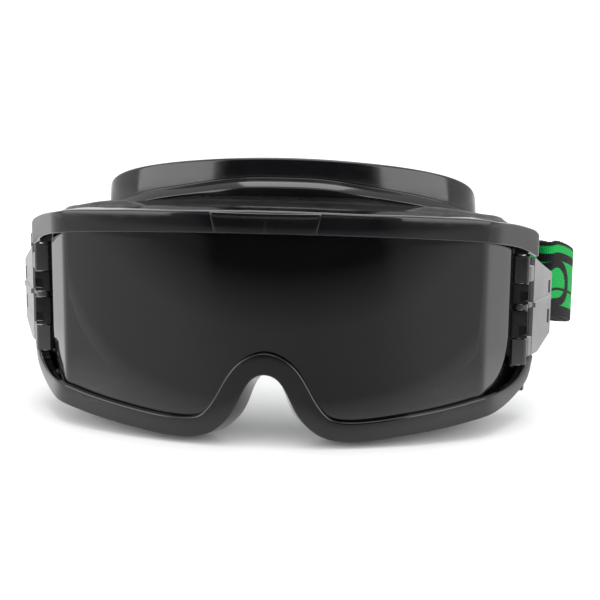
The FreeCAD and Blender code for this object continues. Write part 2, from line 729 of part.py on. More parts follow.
def headband_back():
    tangent = tangent_angle()
    right = arc(RIGHT_ARC_CENTRE, RIGHT_ARC_RADIUS, RIGHT_SPLIT, tangent)
    left = arc(LEFT_CORNER_CENTRE, LEFT_CORNER_RADIUS, tangent, LEFT_SPLIT)
    start, outward = right[-1]
    run = left[0][0] - start
    middle = [(start + run * (i / 8.0), outward) for i in range(1, 8)]
    return ribbon(right + middle + left)


def strap_tail_right():
    offset = layer_offset(-RIGHT_START_ANGLE, RIGHT_LAYER_SETTLE)
    return ribbon(arc(RIGHT_ARC_CENTRE, RIGHT_ARC_RADIUS, -RIGHT_START_ANGLE, TAIL_END_RIGHT, offset))


def strap_tail_left():
    offset = layer_offset(LEFT_FIRST, LEFT_LAYER_SETTLE)
    side = arc(LEFT_SIDE_CENTRE, LEFT_ARC_RADIUS, LEFT_FIRST, 180, offset)
    corner = arc(LEFT_CORNER_CENTRE, LEFT_CORNER_RADIUS, 180, TAIL_END_LEFT, lambda degrees: LAYER_GAP)
    return ribbon(side + corner[1:])


def strap_slide(centre, radius, degrees):
    """Three-bar slide round both layers: two bars outside, one inside, rails at the ends."""
    outer = radius + STRAP_THICKNESS / 2 + SLIDE_CLEARANCE
    inner = radius - LAYER_GAP - STRAP_THICKNESS / 2 - SLIDE_CLEARANCE
    low = STRAP_LOW - STRAP_WIDTH / 2 - SLIDE_END_CLEARANCE
    height = STRAP_WIDTH + 2 * SLIDE_END_CLEARANCE
    solids = []
    for t0, t1 in ((-SLIDE_HALF_LENGTH, -SLIDE_GAP_HALF), (SLIDE_GAP_HALF, SLIDE_HALF_LENGTH)):
        solids.append(Part.makeBox(SLIDE_BAR, t1 - t0, height, VECTOR(outer, t0, low)))
    inner_corner = VECTOR(inner - SLIDE_BAR, -SLIDE_INNER_HALF, low)
    solids.append(Part.makeBox(SLIDE_BAR, 2 * SLIDE_INNER_HALF, height, inner_corner))
    width = outer - inner + 2 * SLIDE_BAR
    for z in (low - SLIDE_RAIL, low + height):
        solids.append(Part.makeBox(width, 2 * SLIDE_HALF_LENGTH, SLIDE_RAIL,
                                   VECTOR(inner - SLIDE_BAR, -SLIDE_HALF_LENGTH, z)))
    slide = solids[0].fuse(solids[1:]).removeSplitter()
    slide.rotate(VECTOR(0, 0, 0), UP, degrees)
    slide.translate(VECTOR(centre[0], centre[1], 0))
    return slide


# ---- parts --------------------------------------------------------------------------
def sides(name, right, left=None):
    """A right-hand piece and its mirror image, or its own left-hand piece."""
    return {name + "_right": right, name + "_left": mirror_x(right) if left is None else left}


def build():
    parts = {
        "front_frame": front_frame(),
        "lens": lens(),
        "soft_skirt": soft_skirt(),
        "face_seal": face_seal(),
        "vent_hood": vent_hood(),
        "upper_vent_filter": upper_vent_filter(),
        "headband_back": headband_back(),
    }
    parts.update(sides("lower_vent_cover", lower_vent_cover()))
    parts.update(sides("lower_vent_filter", lower_vent_filter()))
    parts.update(sides("hinge_mount", hinge_mount()))
    parts.update(sides("hinge_pin", hinge_pin()))
    left_bar = VECTOR(-LEFT_BAR.x, LEFT_BAR.y, 0)
    parts.update(sides("strap_clip", strap_clip(RIGHT_BAR), mirror_x(strap_clip(left_bar))))
    parts.update(sides("headband", headband_right(), headband_left()))
    parts.update(sides("strap_tail", strap_tail_right(), strap_tail_left()))
    parts.update(sides("strap_slide",
                       strap_slide(RIGHT_ARC_CENTRE, RIGHT_ARC_RADIUS, SLIDE_ANGLE_RIGHT),
                       strap_slide(LEFT_CORNER_CENTRE, LEFT_CORNER_RADIUS, SLIDE_ANGLE_LEFT)))
    return parts


os.makedirs("parts", exist_ok=True)
box = FreeCAD.BoundBox()
for name, shape in build().items():
    shape.translate(VECTOR(0, -DEPTH_CENTRE, 0))
    shape.exportStep("parts/" + name + ".step")
    box.add(shape.BoundBox)
    print(name, "valid", shape.isValid(), "solids", len(shape.Solids), "volume", round(shape.Volume, 1))
print("overall box", box)
print("strap bars", RIGHT_BAR, LEFT_BAR)
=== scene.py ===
import math

import bmesh
import bpy
import numpy as np
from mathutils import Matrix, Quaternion, Vector


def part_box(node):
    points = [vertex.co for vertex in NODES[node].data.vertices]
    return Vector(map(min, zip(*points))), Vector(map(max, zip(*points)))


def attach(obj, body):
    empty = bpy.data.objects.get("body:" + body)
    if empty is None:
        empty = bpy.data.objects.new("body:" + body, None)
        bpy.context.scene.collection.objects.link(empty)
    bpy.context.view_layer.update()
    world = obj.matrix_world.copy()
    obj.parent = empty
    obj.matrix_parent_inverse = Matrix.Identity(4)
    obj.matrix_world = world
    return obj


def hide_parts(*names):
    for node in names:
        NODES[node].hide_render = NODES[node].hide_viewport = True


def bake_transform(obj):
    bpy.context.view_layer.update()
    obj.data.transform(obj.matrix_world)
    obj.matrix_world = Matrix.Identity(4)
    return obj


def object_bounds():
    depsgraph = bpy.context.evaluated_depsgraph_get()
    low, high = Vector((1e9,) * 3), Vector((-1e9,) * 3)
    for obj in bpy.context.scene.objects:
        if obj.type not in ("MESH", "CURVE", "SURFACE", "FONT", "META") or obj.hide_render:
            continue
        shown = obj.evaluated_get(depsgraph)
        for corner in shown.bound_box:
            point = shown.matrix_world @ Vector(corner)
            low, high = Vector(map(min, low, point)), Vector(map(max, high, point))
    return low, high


# Wide-vision welding goggles. The shapes are worked out in millimetres from the front centre
# of the lens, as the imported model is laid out, and are moved and scaled when a mesh is made.

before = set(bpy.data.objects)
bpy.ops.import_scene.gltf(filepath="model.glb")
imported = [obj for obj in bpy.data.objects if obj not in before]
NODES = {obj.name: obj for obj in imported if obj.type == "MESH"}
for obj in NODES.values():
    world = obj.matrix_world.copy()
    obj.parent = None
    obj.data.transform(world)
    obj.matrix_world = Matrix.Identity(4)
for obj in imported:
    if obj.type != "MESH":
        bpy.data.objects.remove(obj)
CAD_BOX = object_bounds()

MM = 0.001
LENS_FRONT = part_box("lens")[0].y

# ---- driving dimensions, in millimetres ------------------
RIM_RADIUS = 135.0
RIM_BEND_RADIUS = 17.0
RIM_SIDE_ANGLE = 62.0
RIM_FRONT = -2.0
RIM_BEND_START = 31.0
RIM_DEPTH_FRONT = 13.0
RIM_DEPTH_SIDE = 4.6
RIM_BODY_DEPTH = 4.6         # the solid part behind the face of the rim; the wall is deeper
RIM_FLARE = 0.34
LIP_THICKNESS = 1.7
LIP_SHARE = 0.4              # shares of the way from the rim's inner edge to its outer edge
WALL_SHARE = 0.74
CHAMFER_SHARE = 0.97
BADGE_HEIGHTS = (70.75, 77.35)
BADGE_HALF_WIDTHS = (16.5, 17.9)
BADGE_RISE = 0.6
BADGE_ROOT = 0.8

LENS_RADIUS = 133.0
LENS_BEND_RADIUS = 4.0
LENS_BEND_START = 31.6
LENS_SIDE_ANGLE = 64.0
LENS_THICKNESS = 2.2
LENS_HALF_WIDTH = 79.6
LENS_BEHIND_RIM = 4.2
LENS_UNDER_LIP = 0.36        # the pane's edge lies at this share of the rim's breadth
LENS_TOP_CORNER = 63.4
LENS_TOP_SLOPE = 2.0
LENS_CORNER = (9.0, 15.0)     # width and height of the rounded lower corners

STRAP_WIDTH = 27.5
STRAP_THICKNESS = 1.7
STRAP_HIGH = 45.6
STRAP_LOW = 28.6             # the strap's middle line sinks from the clips to the back
DROOP_FROM = 66.5
DROOP_TO = 150.0
DROOP_POWER = 1.6
DROOP_EASE = 0.03
SPLIT_DEPTH = 152.0
LAYER_GAP = 2.1
RIB_COUNT = 22
RIB_HEIGHT = 0.07
SELVEDGE_ROUNDING = 0.7
SCALLOP = 0.09
SCALLOP_WAVES = 2.6          # radians for each millimetre along the webbing
LOOP_RADIUS = 2.35
RIGHT_CENTRE = (37.25, 100.0)
RIGHT_RADIUS = 67.7
RIGHT_START = 31.1
LEFT_RADIUS = 134.7
LEFT_START = 26.5
CORNER_CENTRE = (-49.95, 125.3)
CORNER_RADIUS = 55.0
JOIN_ANGLE = 110.0           # the two webbing pieces meet here, under the left slide
TAIL_END_RIGHT = 81.0
TAIL_END_LEFT = 90.0
LEFT_CENTRE = (CORNER_CENTRE[0] - CORNER_RADIUS + LEFT_RADIUS, CORNER_CENTRE[1])
LEFT_FIRST = 180 + LEFT_START

# Rim outline, right half, from the top centre: (inner x, inner z, outer x, outer z).
UPPER_RIM = [
    (0.0, 70.5, 0.0, 77.9), (17.0, 70.3, 17.0, 77.6), (32.0, 69.7, 32.0, 76.9),
    (46.0, 68.8, 46.0, 76.2), (58.0, 67.7, 58.0, 75.2), (68.0, 66.5, 68.0, 74.1),
    (74.5, 65.1, 74.5, 72.6), (79.0, 63.3, 79.0, 71.0), (83.5, 61.0, 83.5, 69.0),
    (86.6, 58.9, 86.6, 67.3), (88.6, 57.2, 88.6, 65.9), (90.0, 56.0, 90.0, 64.0),
]
LOWER_RIM = [
    (0.0, 31.8, 0.0, 24.3), (4.9, 30.6, 3.0, 23.5), (8.6, 28.2, 5.4, 21.2),
    (11.5, 25.0, 7.4, 17.6), (14.1, 20.7, 9.5, 13.2), (16.6, 16.1, 12.0, 9.3),
    (18.9, 12.7, 15.0, 6.2), (21.3, 10.3, 18.4, 3.9), (24.2, 9.2, 22.6, 2.5),
    (28.5, 8.8, 28.2, 1.9), (36.0, 9.1, 36.0, 2.2), (46.2, 10.2, 46.4, 3.3),
    (58.0, 11.7, 58.5, 4.7), (66.0, 13.0, 67.0, 6.0), (71.0, 13.8, 73.0, 6.9),
    (76.0, 13.9, 79.0, 8.0), (80.8, 14.3, 84.0, 10.6), (84.0, 15.8, 87.1, 13.4),
    (86.3, 18.6, 88.7, 18.6), (87.3, 21.9, 89.3, 21.9),
]
# Wall behind the lens end and the hinge: outline (x, y) and heights.
POST_OUTLINE = [
    (71.6, 33.2), (73.7, 32.3), (76.9, 38.9), (80.7, 46.9), (85.8, 46.9),
    (86.4, 50.2), (79.4, 50.2), (75.2, 39.7),
]
POST_HEIGHTS = (9.0, 63.5)
# Soft body, right half, from the top centre: front edge x, y, z and face edge x, y, z.
SKIRT = [
    (0.0, 9.0, 75.4, 0.0, 49.0, 74.6), (22.0, 10.6, 75.0, 22.0, 51.0, 74.2),
    (44.0, 15.5, 73.8, 42.0, 57.0, 72.4), (61.0, 21.5, 72.0, 56.0, 65.0, 69.6),
    (72.2, 32.2, 69.4, 65.5, 74.0, 64.6), (80.4, 47.5, 64.8, 70.0, 81.0, 56.0),
    (82.8, 50.7, 52.0, 71.5, 84.0, 45.0), (82.8, 50.7, 36.0, 70.0, 83.0, 33.0),
    (81.0, 49.5, 20.5, 66.0, 79.0, 22.0), (73.0, 33.4, 13.2, 59.0, 72.0, 14.0),
    (61.0, 23.0, 9.4, 49.0, 64.0, 9.6), (46.0, 18.5, 6.6, 38.0, 54.0, 8.6),
    (32.0, 14.8, 5.6, 27.0, 44.0, 12.0), (21.5, 12.6, 8.0, 18.0, 35.0, 20.0),
    (12.5, 11.6, 16.6, 11.0, 29.0, 29.0), (0.0, 11.0, 28.2, 0.0, 25.0, 37.0),
]
# Vent hood, right half: x, y, base z, band bottom z, band top z, lower wall's step forward.
HOOD = [
    (0.0, 50.0, 76.2, 82.5, 88.8, 5.0), (16.0, 51.2, 75.9, 81.8, 88.3, 4.8),
    (32.0, 54.8, 75.0, 78.9, 86.8, 4.0), (46.0, 60.2, 72.0, 75.8, 84.6, 3.0),
    (56.0, 66.4, 68.8, 72.6, 82.0, 2.2), (63.0, 73.0, 65.2, 69.2, 78.9, 1.6),
    (67.0, 80.0, 61.2, 65.2, 75.0, 1.2), (68.2, 86.0, 58.0, 62.0, 71.0, 1.0),
]
HOOD_THICKNESS = 2.6
HOOD_STEP_RISE = 3.2

# The soft body's wall: share of the way to the face, and how far inside the wall's face it lies.
BODY_PROFILE = [
    (0.0, 0.4), (0.0, -0.55), (0.02, -0.9), (0.07, -0.9), (0.09, -0.4), (0.11, 0.35),
    (0.2, 0.75), (0.35, 1.1), (0.5, 1.2), (0.65, 1.1), (0.8, 0.7), (0.86, 0.2), (0.88, -0.35),
    (0.92, -0.5), (0.95, -0.3), (1.0, 0.0), (1.0, 2.0), (0.85, 2.2), (0.65, 3.0), (0.5, 3.2),
    (0.3, 2.9), (0.1, 2.2), (0.0, 2.0),
]
WALL_INSIDE = 1.3            # profile points deeper than this are on the inner face
SHOULDER_RISE = 5.6          # the wall stands up behind the rim's upper corners
SHOULDER_HEIGHTS = (60.0, 66.0)
SHOULDER_ASIDE = (32.0, 54.0)
SHOULDER_PEAK = 0.22         # share of the way to the face
SHOULDER_SPREAD = 0.13
# The face lip: how far inside the edge, and how far behind it.
PAD_PROFILE = [
    (-1.5, 0.7), (-1.2, 1.9), (-0.2, 2.6), (0.9, 2.35), (1.5, 2.0), (2.1, 2.35), (3.5, 2.75),
    (5.0, 2.7), (6.6, 2.2), (7.8, 1.3), (8.0, 0.1), (7.4, -0.7), (5.5, -0.6), (3.0, -0.25),
    (0.5, 0.0), (-0.9, 0.1),
]

# ---- looks -----------------------------------------------
CLIP_DARK = (0.007, 0.007, 0.008)
# Lighter grey of the clip wings: a painted reflection of the bright surroundings, not the plastic's
# own colour.
WING_PAINTED_REFLECTION_GREY = (0.13, 0.13, 0.133)
WING_FROM = 0.0863           # the wings begin this far from the middle, in metres
VINYL = (0.005, 0.005, 0.0055)
GREEN = (0.0, 0.34, 0.055)
# Paler green mixed in where the webbing is seen edge-on: a painted sheen.
PAINTED_SHEEN_GREEN = (0.03, 0.50, 0.15)
BLACK_YARN = (0.003, 0.003, 0.004)
RING_PITCH = 0.036           # along the webbing, in metres
RING_SQUEEZE = 0.64          # the rings are longer than they are wide
RING_INNER = 0.0054          # radii in metres, across the webbing
RING_OUTER = 0.0088
RING_SOFTNESS = 0.0003
RING_ACROSS = 0.445          # shares of the webbing's width
THIN_LINE = (0.35, 0.385)
BORDERS = ((-0.1, 0.15), (0.74, 0.85), (0.95, 1.1))
LINE_SOFTNESS = 0.006
FIRST_RING = 0.138
KNIT_PITCH = 0.0125

# ---- stage, in metres and degrees ------------------------
TENT_STRENGTH = 1.12
OPENING_STRENGTH = 0.03
OPENING = 33.0               # half of the tent's dark front opening
OPENING_EDGE = 3.0
FLAG_X = (-1.6, 1.6)
FLAG_AHEAD = (0.005, 2.2)    # from the front of the lens
FLAG_CENTRE = 0.035
# Cover of the front flag by direction from straight ahead, 1 being a right angle.
NEAR_COVER = [(0.0, 0.7), (0.22, 0.66), (0.45, 0.54), (0.7, 0.52), (0.92, 0.4), (1.0, 0.2)]
FAR_COVER = [(0.0, 1.0), (0.3, 0.99), (0.36, 0.88), (0.52, 0.82), (0.72, 0.66), (0.9, 0.3),
             (1.0, 0.0)]
SIDE_CARD_STRENGTH = 1.0
SIDE_CARD_X = (0.10, 0.7)
SIDE_CARD_Y = (-0.12, 0.6)
BOX_TURN = 62.0              # the front softboxes stand this far round to the sides
BOX_DISTANCE = 1.15
BOX_HEIGHT = 0.42
FLOOR_RADIUS = 60.0

# The view: the direction from the target to the camera, and the framing in millimetres.
VIEW_TURN = 5.15
VIEW_RISE = 12.0
VIEW_ROLL = 0.56
VIEW_DISTANCE = 508.57
VIEW_TARGET = (8.442, 30.514, 42.822)
LENS_LENGTH = 89.64
SENSOR_WIDTH = 36.0


# ---- curves ----------------------------------------------
def plan(x, radius, bend_radius, bend_start, side_angle, front):
    """Depth and direction angle of a curved front wall at the distance x from its middle."""
    start = math.radians(bend_start)
    end = math.radians(side_angle)
    bend_x = radius * math.sin(start)
    side_x = bend_x + bend_radius * (math.sin(end) - math.sin(start))
    across = abs(x)
    if across <= bend_x:
        angle = math.asin(across / radius)
        return front + radius * (1 - math.cos(angle)), angle
    bend_y = front + radius * (1 - math.cos(start))
    if across <= side_x:
        angle = math.asin(math.sin(start) + (across - bend_x) / bend_radius)
        return bend_y + bend_radius * (math.cos(start) - math.cos(angle)), angle
    side_y = bend_y + bend_radius * (math.cos(start) - math.cos(end))
    return side_y + (across - side_x) * math.tan(end), end


def rim_plan(x):
    return plan(x, RIM_RADIUS, RIM_BEND_RADIUS, RIM_BEND_START, RIM_SIDE_ANGLE, RIM_FRONT)


def lens_plan(x):
    return plan(x, LENS_RADIUS, LENS_BEND_RADIUS, LENS_BEND_START, LENS_SIDE_ANGLE, 0.0)


def inward(x, z, depth, plan_of):
    """Point that lies the given depth behind a curved front wall."""
    y, angle = plan_of(x)
    side = math.copysign(1.0, x) if x else 0.0
    return np.array([x - side * depth * math.sin(angle), y + depth * math.cos(angle), z])


def rim_depth(x):
    turned = rim_plan(x)[1] / math.radians(RIM_SIDE_ANGLE)
    return RIM_DEPTH_FRONT + (RIM_DEPTH_SIDE - RIM_DEPTH_FRONT) * turned ** 2


def smooth_table(rows, step, closed=False):
    """Rows of numbers, read again about every step along a natural cubic curve through them."""
    table = np.array(rows, float)
    wrap = 4
    if closed:
        table = np.vstack([table[-wrap:], table, table[:wrap + 1]])
    lengths = np.linalg.norm(np.diff(table, axis=0), axis=1) / math.sqrt(table.shape[1] / 3)
    knots = np.concatenate([[0.0], np.cumsum(lengths)])
    count = len(table)
    system = np.eye(count)
    right = np.zeros_like(table)
    for i in range(1, count - 1):
        before = knots[i] - knots[i - 1]
        after = knots[i + 1] - knots[i]
        system[i, i - 1:i + 2] = before, 2 * (before + after), after
        right[i] = 6 * ((table[i + 1] - table[i]) / after - (table[i] - table[i - 1]) / before)
    bend = np.linalg.solve(system, right)
    first, last = (knots[wrap], knots[-wrap - 1]) if closed else (knots[0], knots[-1])
    places = np.linspace(first, last, max(4, int(round((last - first) / step))) + 1)
    if closed:
        places = places[:-1]
    found = []
    for t in places:
        i = min(max(int(np.searchsorted(knots, t)) - 1, 0), count - 2)
        h = knots[i + 1] - knots[i]
        a = (knots[i + 1] - t) / h
        b = (t - knots[i]) / h
        found.append(a * table[i] + b * table[i + 1]
                     + ((a ** 3 - a) * bend[i] + (b ** 3 - b) * bend[i + 1]) * h * h / 6)
    return np.array(found)


def mirrored(rows, signed):
    """Rows in reverse order; the columns in signed change sign."""
    return [tuple(-v if i in signed else v for i, v in enumerate(r)) for r in reversed(rows)]


def both_halves(rows, signed):
    """Whole run of stations from its right half."""
    return mirrored(rows[1:], signed) + rows


def ring_of(rows, signed):
    """Closed run of stations from its right half, whose ends lie on the middle plane."""
    return rows + mirrored(rows[1:-1], signed)


def unit(v):
    return v / max(np.linalg.norm(v), 1e-9)


def eased(corners, radii, steps=4):
    """Closed outline with each corner rounded off by its own radius, or left as it is at 0."""
    points = []
    count = len(corners)
    for i, corner in enumerate(corners):
        if radii[i] <= 0:
            points.append(corner)
            continue
        before = corners[i - 1] - corner
        after = corners[(i + 1) % count] - corner
        reach = min(radii[i], 0.46 * np.linalg.norm(before), 0.46 * np.linalg.norm(after))
        start = corner + unit(before) * reach
        end = corner + unit(after) * reach
        for k in range(steps + 1):
            t = k / steps
            points.append(start * (1 - t) ** 2 + corner * 2 * t * (1 - t) + end * t ** 2)
    return points


def inset(section, distance):
    """Closed outline moved inside by a distance, in its own plane."""
    points = np.array(section)
    ahead = np.roll(points, -1, axis=0)
    behind = np.roll(points, 1, axis=0)
    normal = unit(np.cross(points, ahead).sum(axis=0))
    side = np.array([unit(np.cross(normal, unit(a - b))) for a, b in zip(ahead, behind)])
    return points + side * distance


# ---- meshes ----------------------------------------------
def place(points):
    """Laid-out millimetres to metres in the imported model's frame."""
    moved = np.array(points, float) * MM
    moved[:, 1] += LENS_FRONT
    return moved


def link_data(name, data):
    made = bpy.data.objects.new(name, data)
    bpy.context.scene.collection.objects.link(made)
    return made


def make_object(name, points, faces, sharp):
    mesh = bpy.data.meshes.new(name)
    mesh.from_pydata([tuple(p) for p in place(points)], [], faces)
    mesh.validate()
    work = bmesh.new()
    work.from_mesh(mesh)
    bmesh.ops.remove_doubles(work, verts=work.verts, dist=1e-6)
    bmesh.ops.recalc_face_normals(work, faces=work.faces)
    work.to_mesh(mesh)
    work.free()
    mesh.shade_smooth()
    mesh.set_sharp_from_angle(angle=math.radians(sharp))
    return link_data(name, mesh)


def loft(name, sections, closed=False, end_round=0.0, sharp=40.0):
    """Skin over sections with equal numbers of points: a ring, or a bar with rounded ends."""
    runs = [np.array(s) for s in sections]
    if not closed and end_round:
        runs = round_end(runs[::-1], end_round)[::-1]
        runs = round_end(runs, end_round)
    count = len(runs[0])
    total = len(runs)
    faces = []
    for i in range(total if closed else total - 1):
        j = (i + 1) % total
        for k in range(count):
            m = (k + 1) % count
            faces.append((i * count + k, i * count + m, j * count + m, j * count + k))
    if not closed:
        faces.append(tuple(range(count)))
        faces.append(tuple((total - 1) * count + k for k in range(count)))
    return make_object(name, np.vstack(runs), faces, sharp)


def round_end(runs, radius):
    """The last section is drawn in over a few more sections, so that the end is rounded."""
    def spread(section):
        return np.linalg.norm(section - section.mean(axis=0))

    last = runs[-1]
    along = unit(last.mean(axis=0) - runs[-2].mean(axis=0))
    rounded = []
    for k in range(1, 5):
        angle = math.pi / 2 * k / 4
        depth = radius * (1 - math.cos(angle))
        drawn = inset(last, depth)
        if spread(drawn) > spread(last):
            drawn = inset(last, -depth)
        rounded.append(drawn + along * radius * (math.sin(angle) - 1))
    return runs[:-1] + rounded


def joined(name, objects):
    """Several closed shells of one moulding, kept as one piece."""
    work = bmesh.new()
    for obj in objects:
        work.from_mesh(obj.data)
        bpy.data.objects.remove(obj)
    mesh = bpy.data.meshes.new(name)
    work.to_mesh(mesh)
    work.free()
    return link_data(name, mesh)


def smoothed(obj, levels):
    """Soft pieces are subdivided, and the result is kept as their mesh."""
    smooth = obj.modifiers.new("smooth", "SUBSURF")
    smooth.levels = levels
    smooth.render_levels = levels
    graph = bpy.context.evaluated_depsgraph_get()
    mesh = bpy.data.meshes.new_from_object(obj.evaluated_get(graph))
    obj.modifiers.clear()
    obj.data = mesh
    mesh.shade_smooth()


def finish_piece(obj, material, replaced):
    """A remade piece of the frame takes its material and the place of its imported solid."""
    obj.data.materials.clear()
    obj.data.materials.append(material)
    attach(obj, "frame")
    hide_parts(replaced)


# ---- materials -------------------------------------------
def tone(colour, scale, lift=0.0):
    return tuple(c * scale + lift for c in colour)


class Nodes:
    """Short calls for the nodes of a shader tree."""

    def __init__(self, tree):
        self.tree = tree

    def node(self, kind, **settings):
        made = self.tree.nodes.new("ShaderNode" + kind)
        for key, value in settings.items():
            if key.startswith("in_"):
                made.inputs[key[3:].replace("_", " ")].default_value = value
            else:
                setattr(made, key, value)
        return made

    def link(self, source, target):
        self.tree.links.new(source, target)

    def fill(self, sockets, values):
        """Each value is a number, a colour, another node's output, or None to leave it alone."""
        for socket, value in zip(sockets, values):
            if isinstance(value, tuple):
                socket.default_value = (*value, 1)
            elif isinstance(value, (int, float)):
                socket.default_value = value
            elif value is not None:
                self.link(value, socket)

    def split(self, source):
        made = self.node("SeparateXYZ")
        self.link(source, made.inputs["Vector"])
        return made.outputs

    def span(self, source, low, high, out_low, out_high, curve="LINEAR"):
        """The source between low and high, laid over the range from out_low to out_high."""
        made = self.node("MapRange", interpolation_type=curve, in_From_Min=low, in_From_Max=high,
                         in_To_Min=out_low, in_To_Max=out_high)
        self.link(source, made.inputs["Value"])
        return made.outputs["Result"]

    def math(self, operation, a, b=None, c=None):
        made = self.node("Math", operation=operation)
        self.fill(made.inputs, (a, b, c))
        return made.outputs["Value"]

    def mix(self, factor, a, b):
        made = self.node("Mix", data_type="RGBA")
        self.fill((made.inputs[0], made.inputs[6], made.inputs[7]), (factor, a, b))
        return made.outputs[2]

    def ramp(self, source, stops):
        made = self.node("ValToRGB")
        elements = made.color_ramp.elements
        while len(elements) < len(stops):
            elements.new(0.5)
        for element, (position, colour) in zip(elements, stops):
            element.position = position
            element.color = (*colour, 1)
        self.link(source, made.inputs["Fac"])
        return made.outputs["Color"]


class Finish(Nodes):
    """A procedural material on object coordinates."""

    def __init__(self, name, colour, roughness, **sockets):
        self.material = bpy.data.materials.new(name)
        self.material.use_nodes = True
        super().__init__(self.material.node_tree)
        self.shader = self.tree.nodes["Principled BSDF"]
        self.shader.inputs["Base Color"].default_value = (*colour, 1)
        self.shader.inputs["Roughness"].default_value = roughness
        for socket, value in sockets.items():
            self.shader.inputs[socket.replace("_", " ")].default_value = value
        self.where = self.node("TexCoord").outputs["Object"]

    def noise(self, scale, detail=3.0, roughness=0.5, stretch=None):
        made = self.node("TexNoise", in_Scale=scale, in_Detail=detail, in_Roughness=roughness)
        source = self.where
        if stretch:
            mapping = self.node("Mapping", in_Scale=stretch)
            self.link(source, mapping.inputs["Vector"])
            source = mapping.outputs["Vector"]
        self.link(source, made.inputs["Vector"])
        return made.outputs["Fac"]

    def colour(self, source):
        self.link(source, self.shader.inputs["Base Color"])

    def roughness(self, source):
        self.link(source, self.shader.inputs["Roughness"])

    def bump(self, source, strength, distance, under=None):
        made = self.node("Bump", in_Strength=strength, in_Distance=distance)
        self.link(source, made.inputs["Height"])
        if under:
            self.link(under, made.inputs["Normal"])
        self.link(made.outputs["Normal"], self.shader.inputs["Normal"])
        return made.outputs["Normal"]

    def polish(self, low, high, grain):
        """Handling marks in the roughness, slow waves from the mould and a fine grain."""
        marks = self.noise(160, 5, 0.65, stretch=(1, 1, 3))
        self.roughness(self.span(marks, 0.35, 0.75, low, high))
        waves = self.bump(self.noise(95, 1), 0.05, 0.0004)
        if grain:
            self.bump(self.noise(5200, 2), grain, 0.00008, waves)


def moulded(name, colour, low, high, grain=0.0, specular=0.5):
    """Moulded plastic: faint colour drift, uneven polish, handling marks and paler edges."""
    finish = Finish(name, colour, low, Specular_IOR_Level=specular)
    tint = finish.ramp(finish.noise(38, 4), [(0.3, tone(colour, 0.75)),
                                             (0.7, tone(colour, 1.5, 0.001))])
    edge = finish.node("NewGeometry").outputs["Pointiness"]
    scuffed = finish.math("MULTIPLY", finish.span(edge, 0.52, 0.62, 0, 1), finish.noise(900, 2))
    finish.colour(finish.mix(finish.math("MULTIPLY", scuffed, 0.5), tint, tone(colour, 1.0, 0.025)))
    finish.polish(low, high, grain)
    return finish.material


def clip_finish():
    """Dark plastic of the clips; the flared wings get a lighter grey, which is a painted
    reflection.
    """
    finish = Finish("clip_plastic", CLIP_DARK, 0.14, Specular_IOR_Level=0.95)
    aside = finish.math("ABSOLUTE", finish.split(finish.where)["X"])
    drift = finish.noise(38, 4)
    shades = [finish.ramp(drift, [(0.3, tone(grey, 0.75)), (0.7, tone(grey, 1.3))])
              for grey in (CLIP_DARK, WING_PAINTED_REFLECTION_GREY)]
    # Past WING_FROM the colour turns to the lighter grey: a painted reflection.
    finish.colour(finish.mix(finish.span(aside, WING_FROM, WING_FROM + 0.0008, 0, 1), *shades))
    finish.polish(0.14, 0.26, 0.05)
    return finish.material


def lens_finish():
    """Dark smoke polycarbonate with a hard glossy skin, a little dust and faint wipe marks."""
    finish = Finish("smoke_lens", (0.0018, 0.0019, 0.0018), 0.03, IOR=1.55)
    finish.colour(finish.ramp(finish.noise(26, 3), [(0.3, (0.0014, 0.0015, 0.0014)),
                                                    (0.72, (0.0024, 0.0025, 0.0024))]))
    wipes = finish.noise(70, 4, 0.6, stretch=(0.35, 1, 1.6))
    dust = finish.span(finish.noise(2600, 1), 0.70, 0.78, 0, 0.12)
    finish.roughness(finish.math("ADD", finish.span(wipes, 0.3, 0.8, 0.02, 0.075), dust))
    finish.bump(finish.noise(30, 0), 0.02, 0.0006)
    return finish.material


def vinyl_finish():
    """Soft moulded vinyl: satin, with a fine pebbled skin and slow waviness."""
    finish = Finish("soft_vinyl", VINYL, 0.34, Specular_IOR_Level=0.22)
    finish.colour(finish.ramp(finish.noise(60, 5, 0.6), [(0.25, tone(VINYL, 0.7)),
                                                         (0.75, tone(VINYL, 1.35, 0.002))]))
    finish.roughness(finish.span(finish.noise(240, 4), 0.3, 0.7, 0.34, 0.5))
    under = finish.bump(finish.noise(120, 2), 0.08, 0.0006)
    finish.bump(finish.noise(3800, 2), 0.18, 0.0001, under)
    return finish.material


def foam_finish(name, colour, cell_size):
    """Open foam under a brushed face: cells, fuzz and a soft sheen."""
    finish = Finish(name, colour, 0.95, Sheen_Weight=0.35, Sheen_Roughness=0.55)
    cells = finish.node("TexVoronoi", in_Scale=1.0 / cell_size)
    finish.link(finish.where, cells.inputs["Vector"])
    depth = finish.span(cells.outputs["Distance"], 0.0, 0.6, 0, 1)
    fuzz = finish.noise(5200, 3, 0.7)
    # Darker in the cells' pits, where the bump is low: painted shade, mixed with random fuzz tone.
    shade = finish.math("MULTIPLY_ADD", fuzz, 0.5, finish.math("MULTIPLY", depth, 0.5))
    finish.colour(finish.ramp(shade, [(0.15, tone(colour, 0.45)), (0.8, tone(colour, 1.6, 0.004))]))
    under = finish.bump(depth, 0.5, cell_size * 0.6)
    finish.bump(fuzz, 0.3, 0.0002, under)
    return finish.material


def steel_finish():
    """Turned steel, with fine rings round the pin."""
    finish = Finish("pin_steel", (0.42, 0.42, 0.44), 0.3, Metallic=1.0)
    turned = finish.noise(900, 3, stretch=(1, 1, 0.08))
    finish.colour(finish.ramp(turned, [(0.3, (0.30, 0.30, 0.32)), (0.7, (0.52, 0.52, 0.54))]))
    finish.roughness(finish.span(turned, 0.3, 0.7, 0.22, 0.42))
    finish.bump(turned, 0.2, 0.00005)
    return finish.material


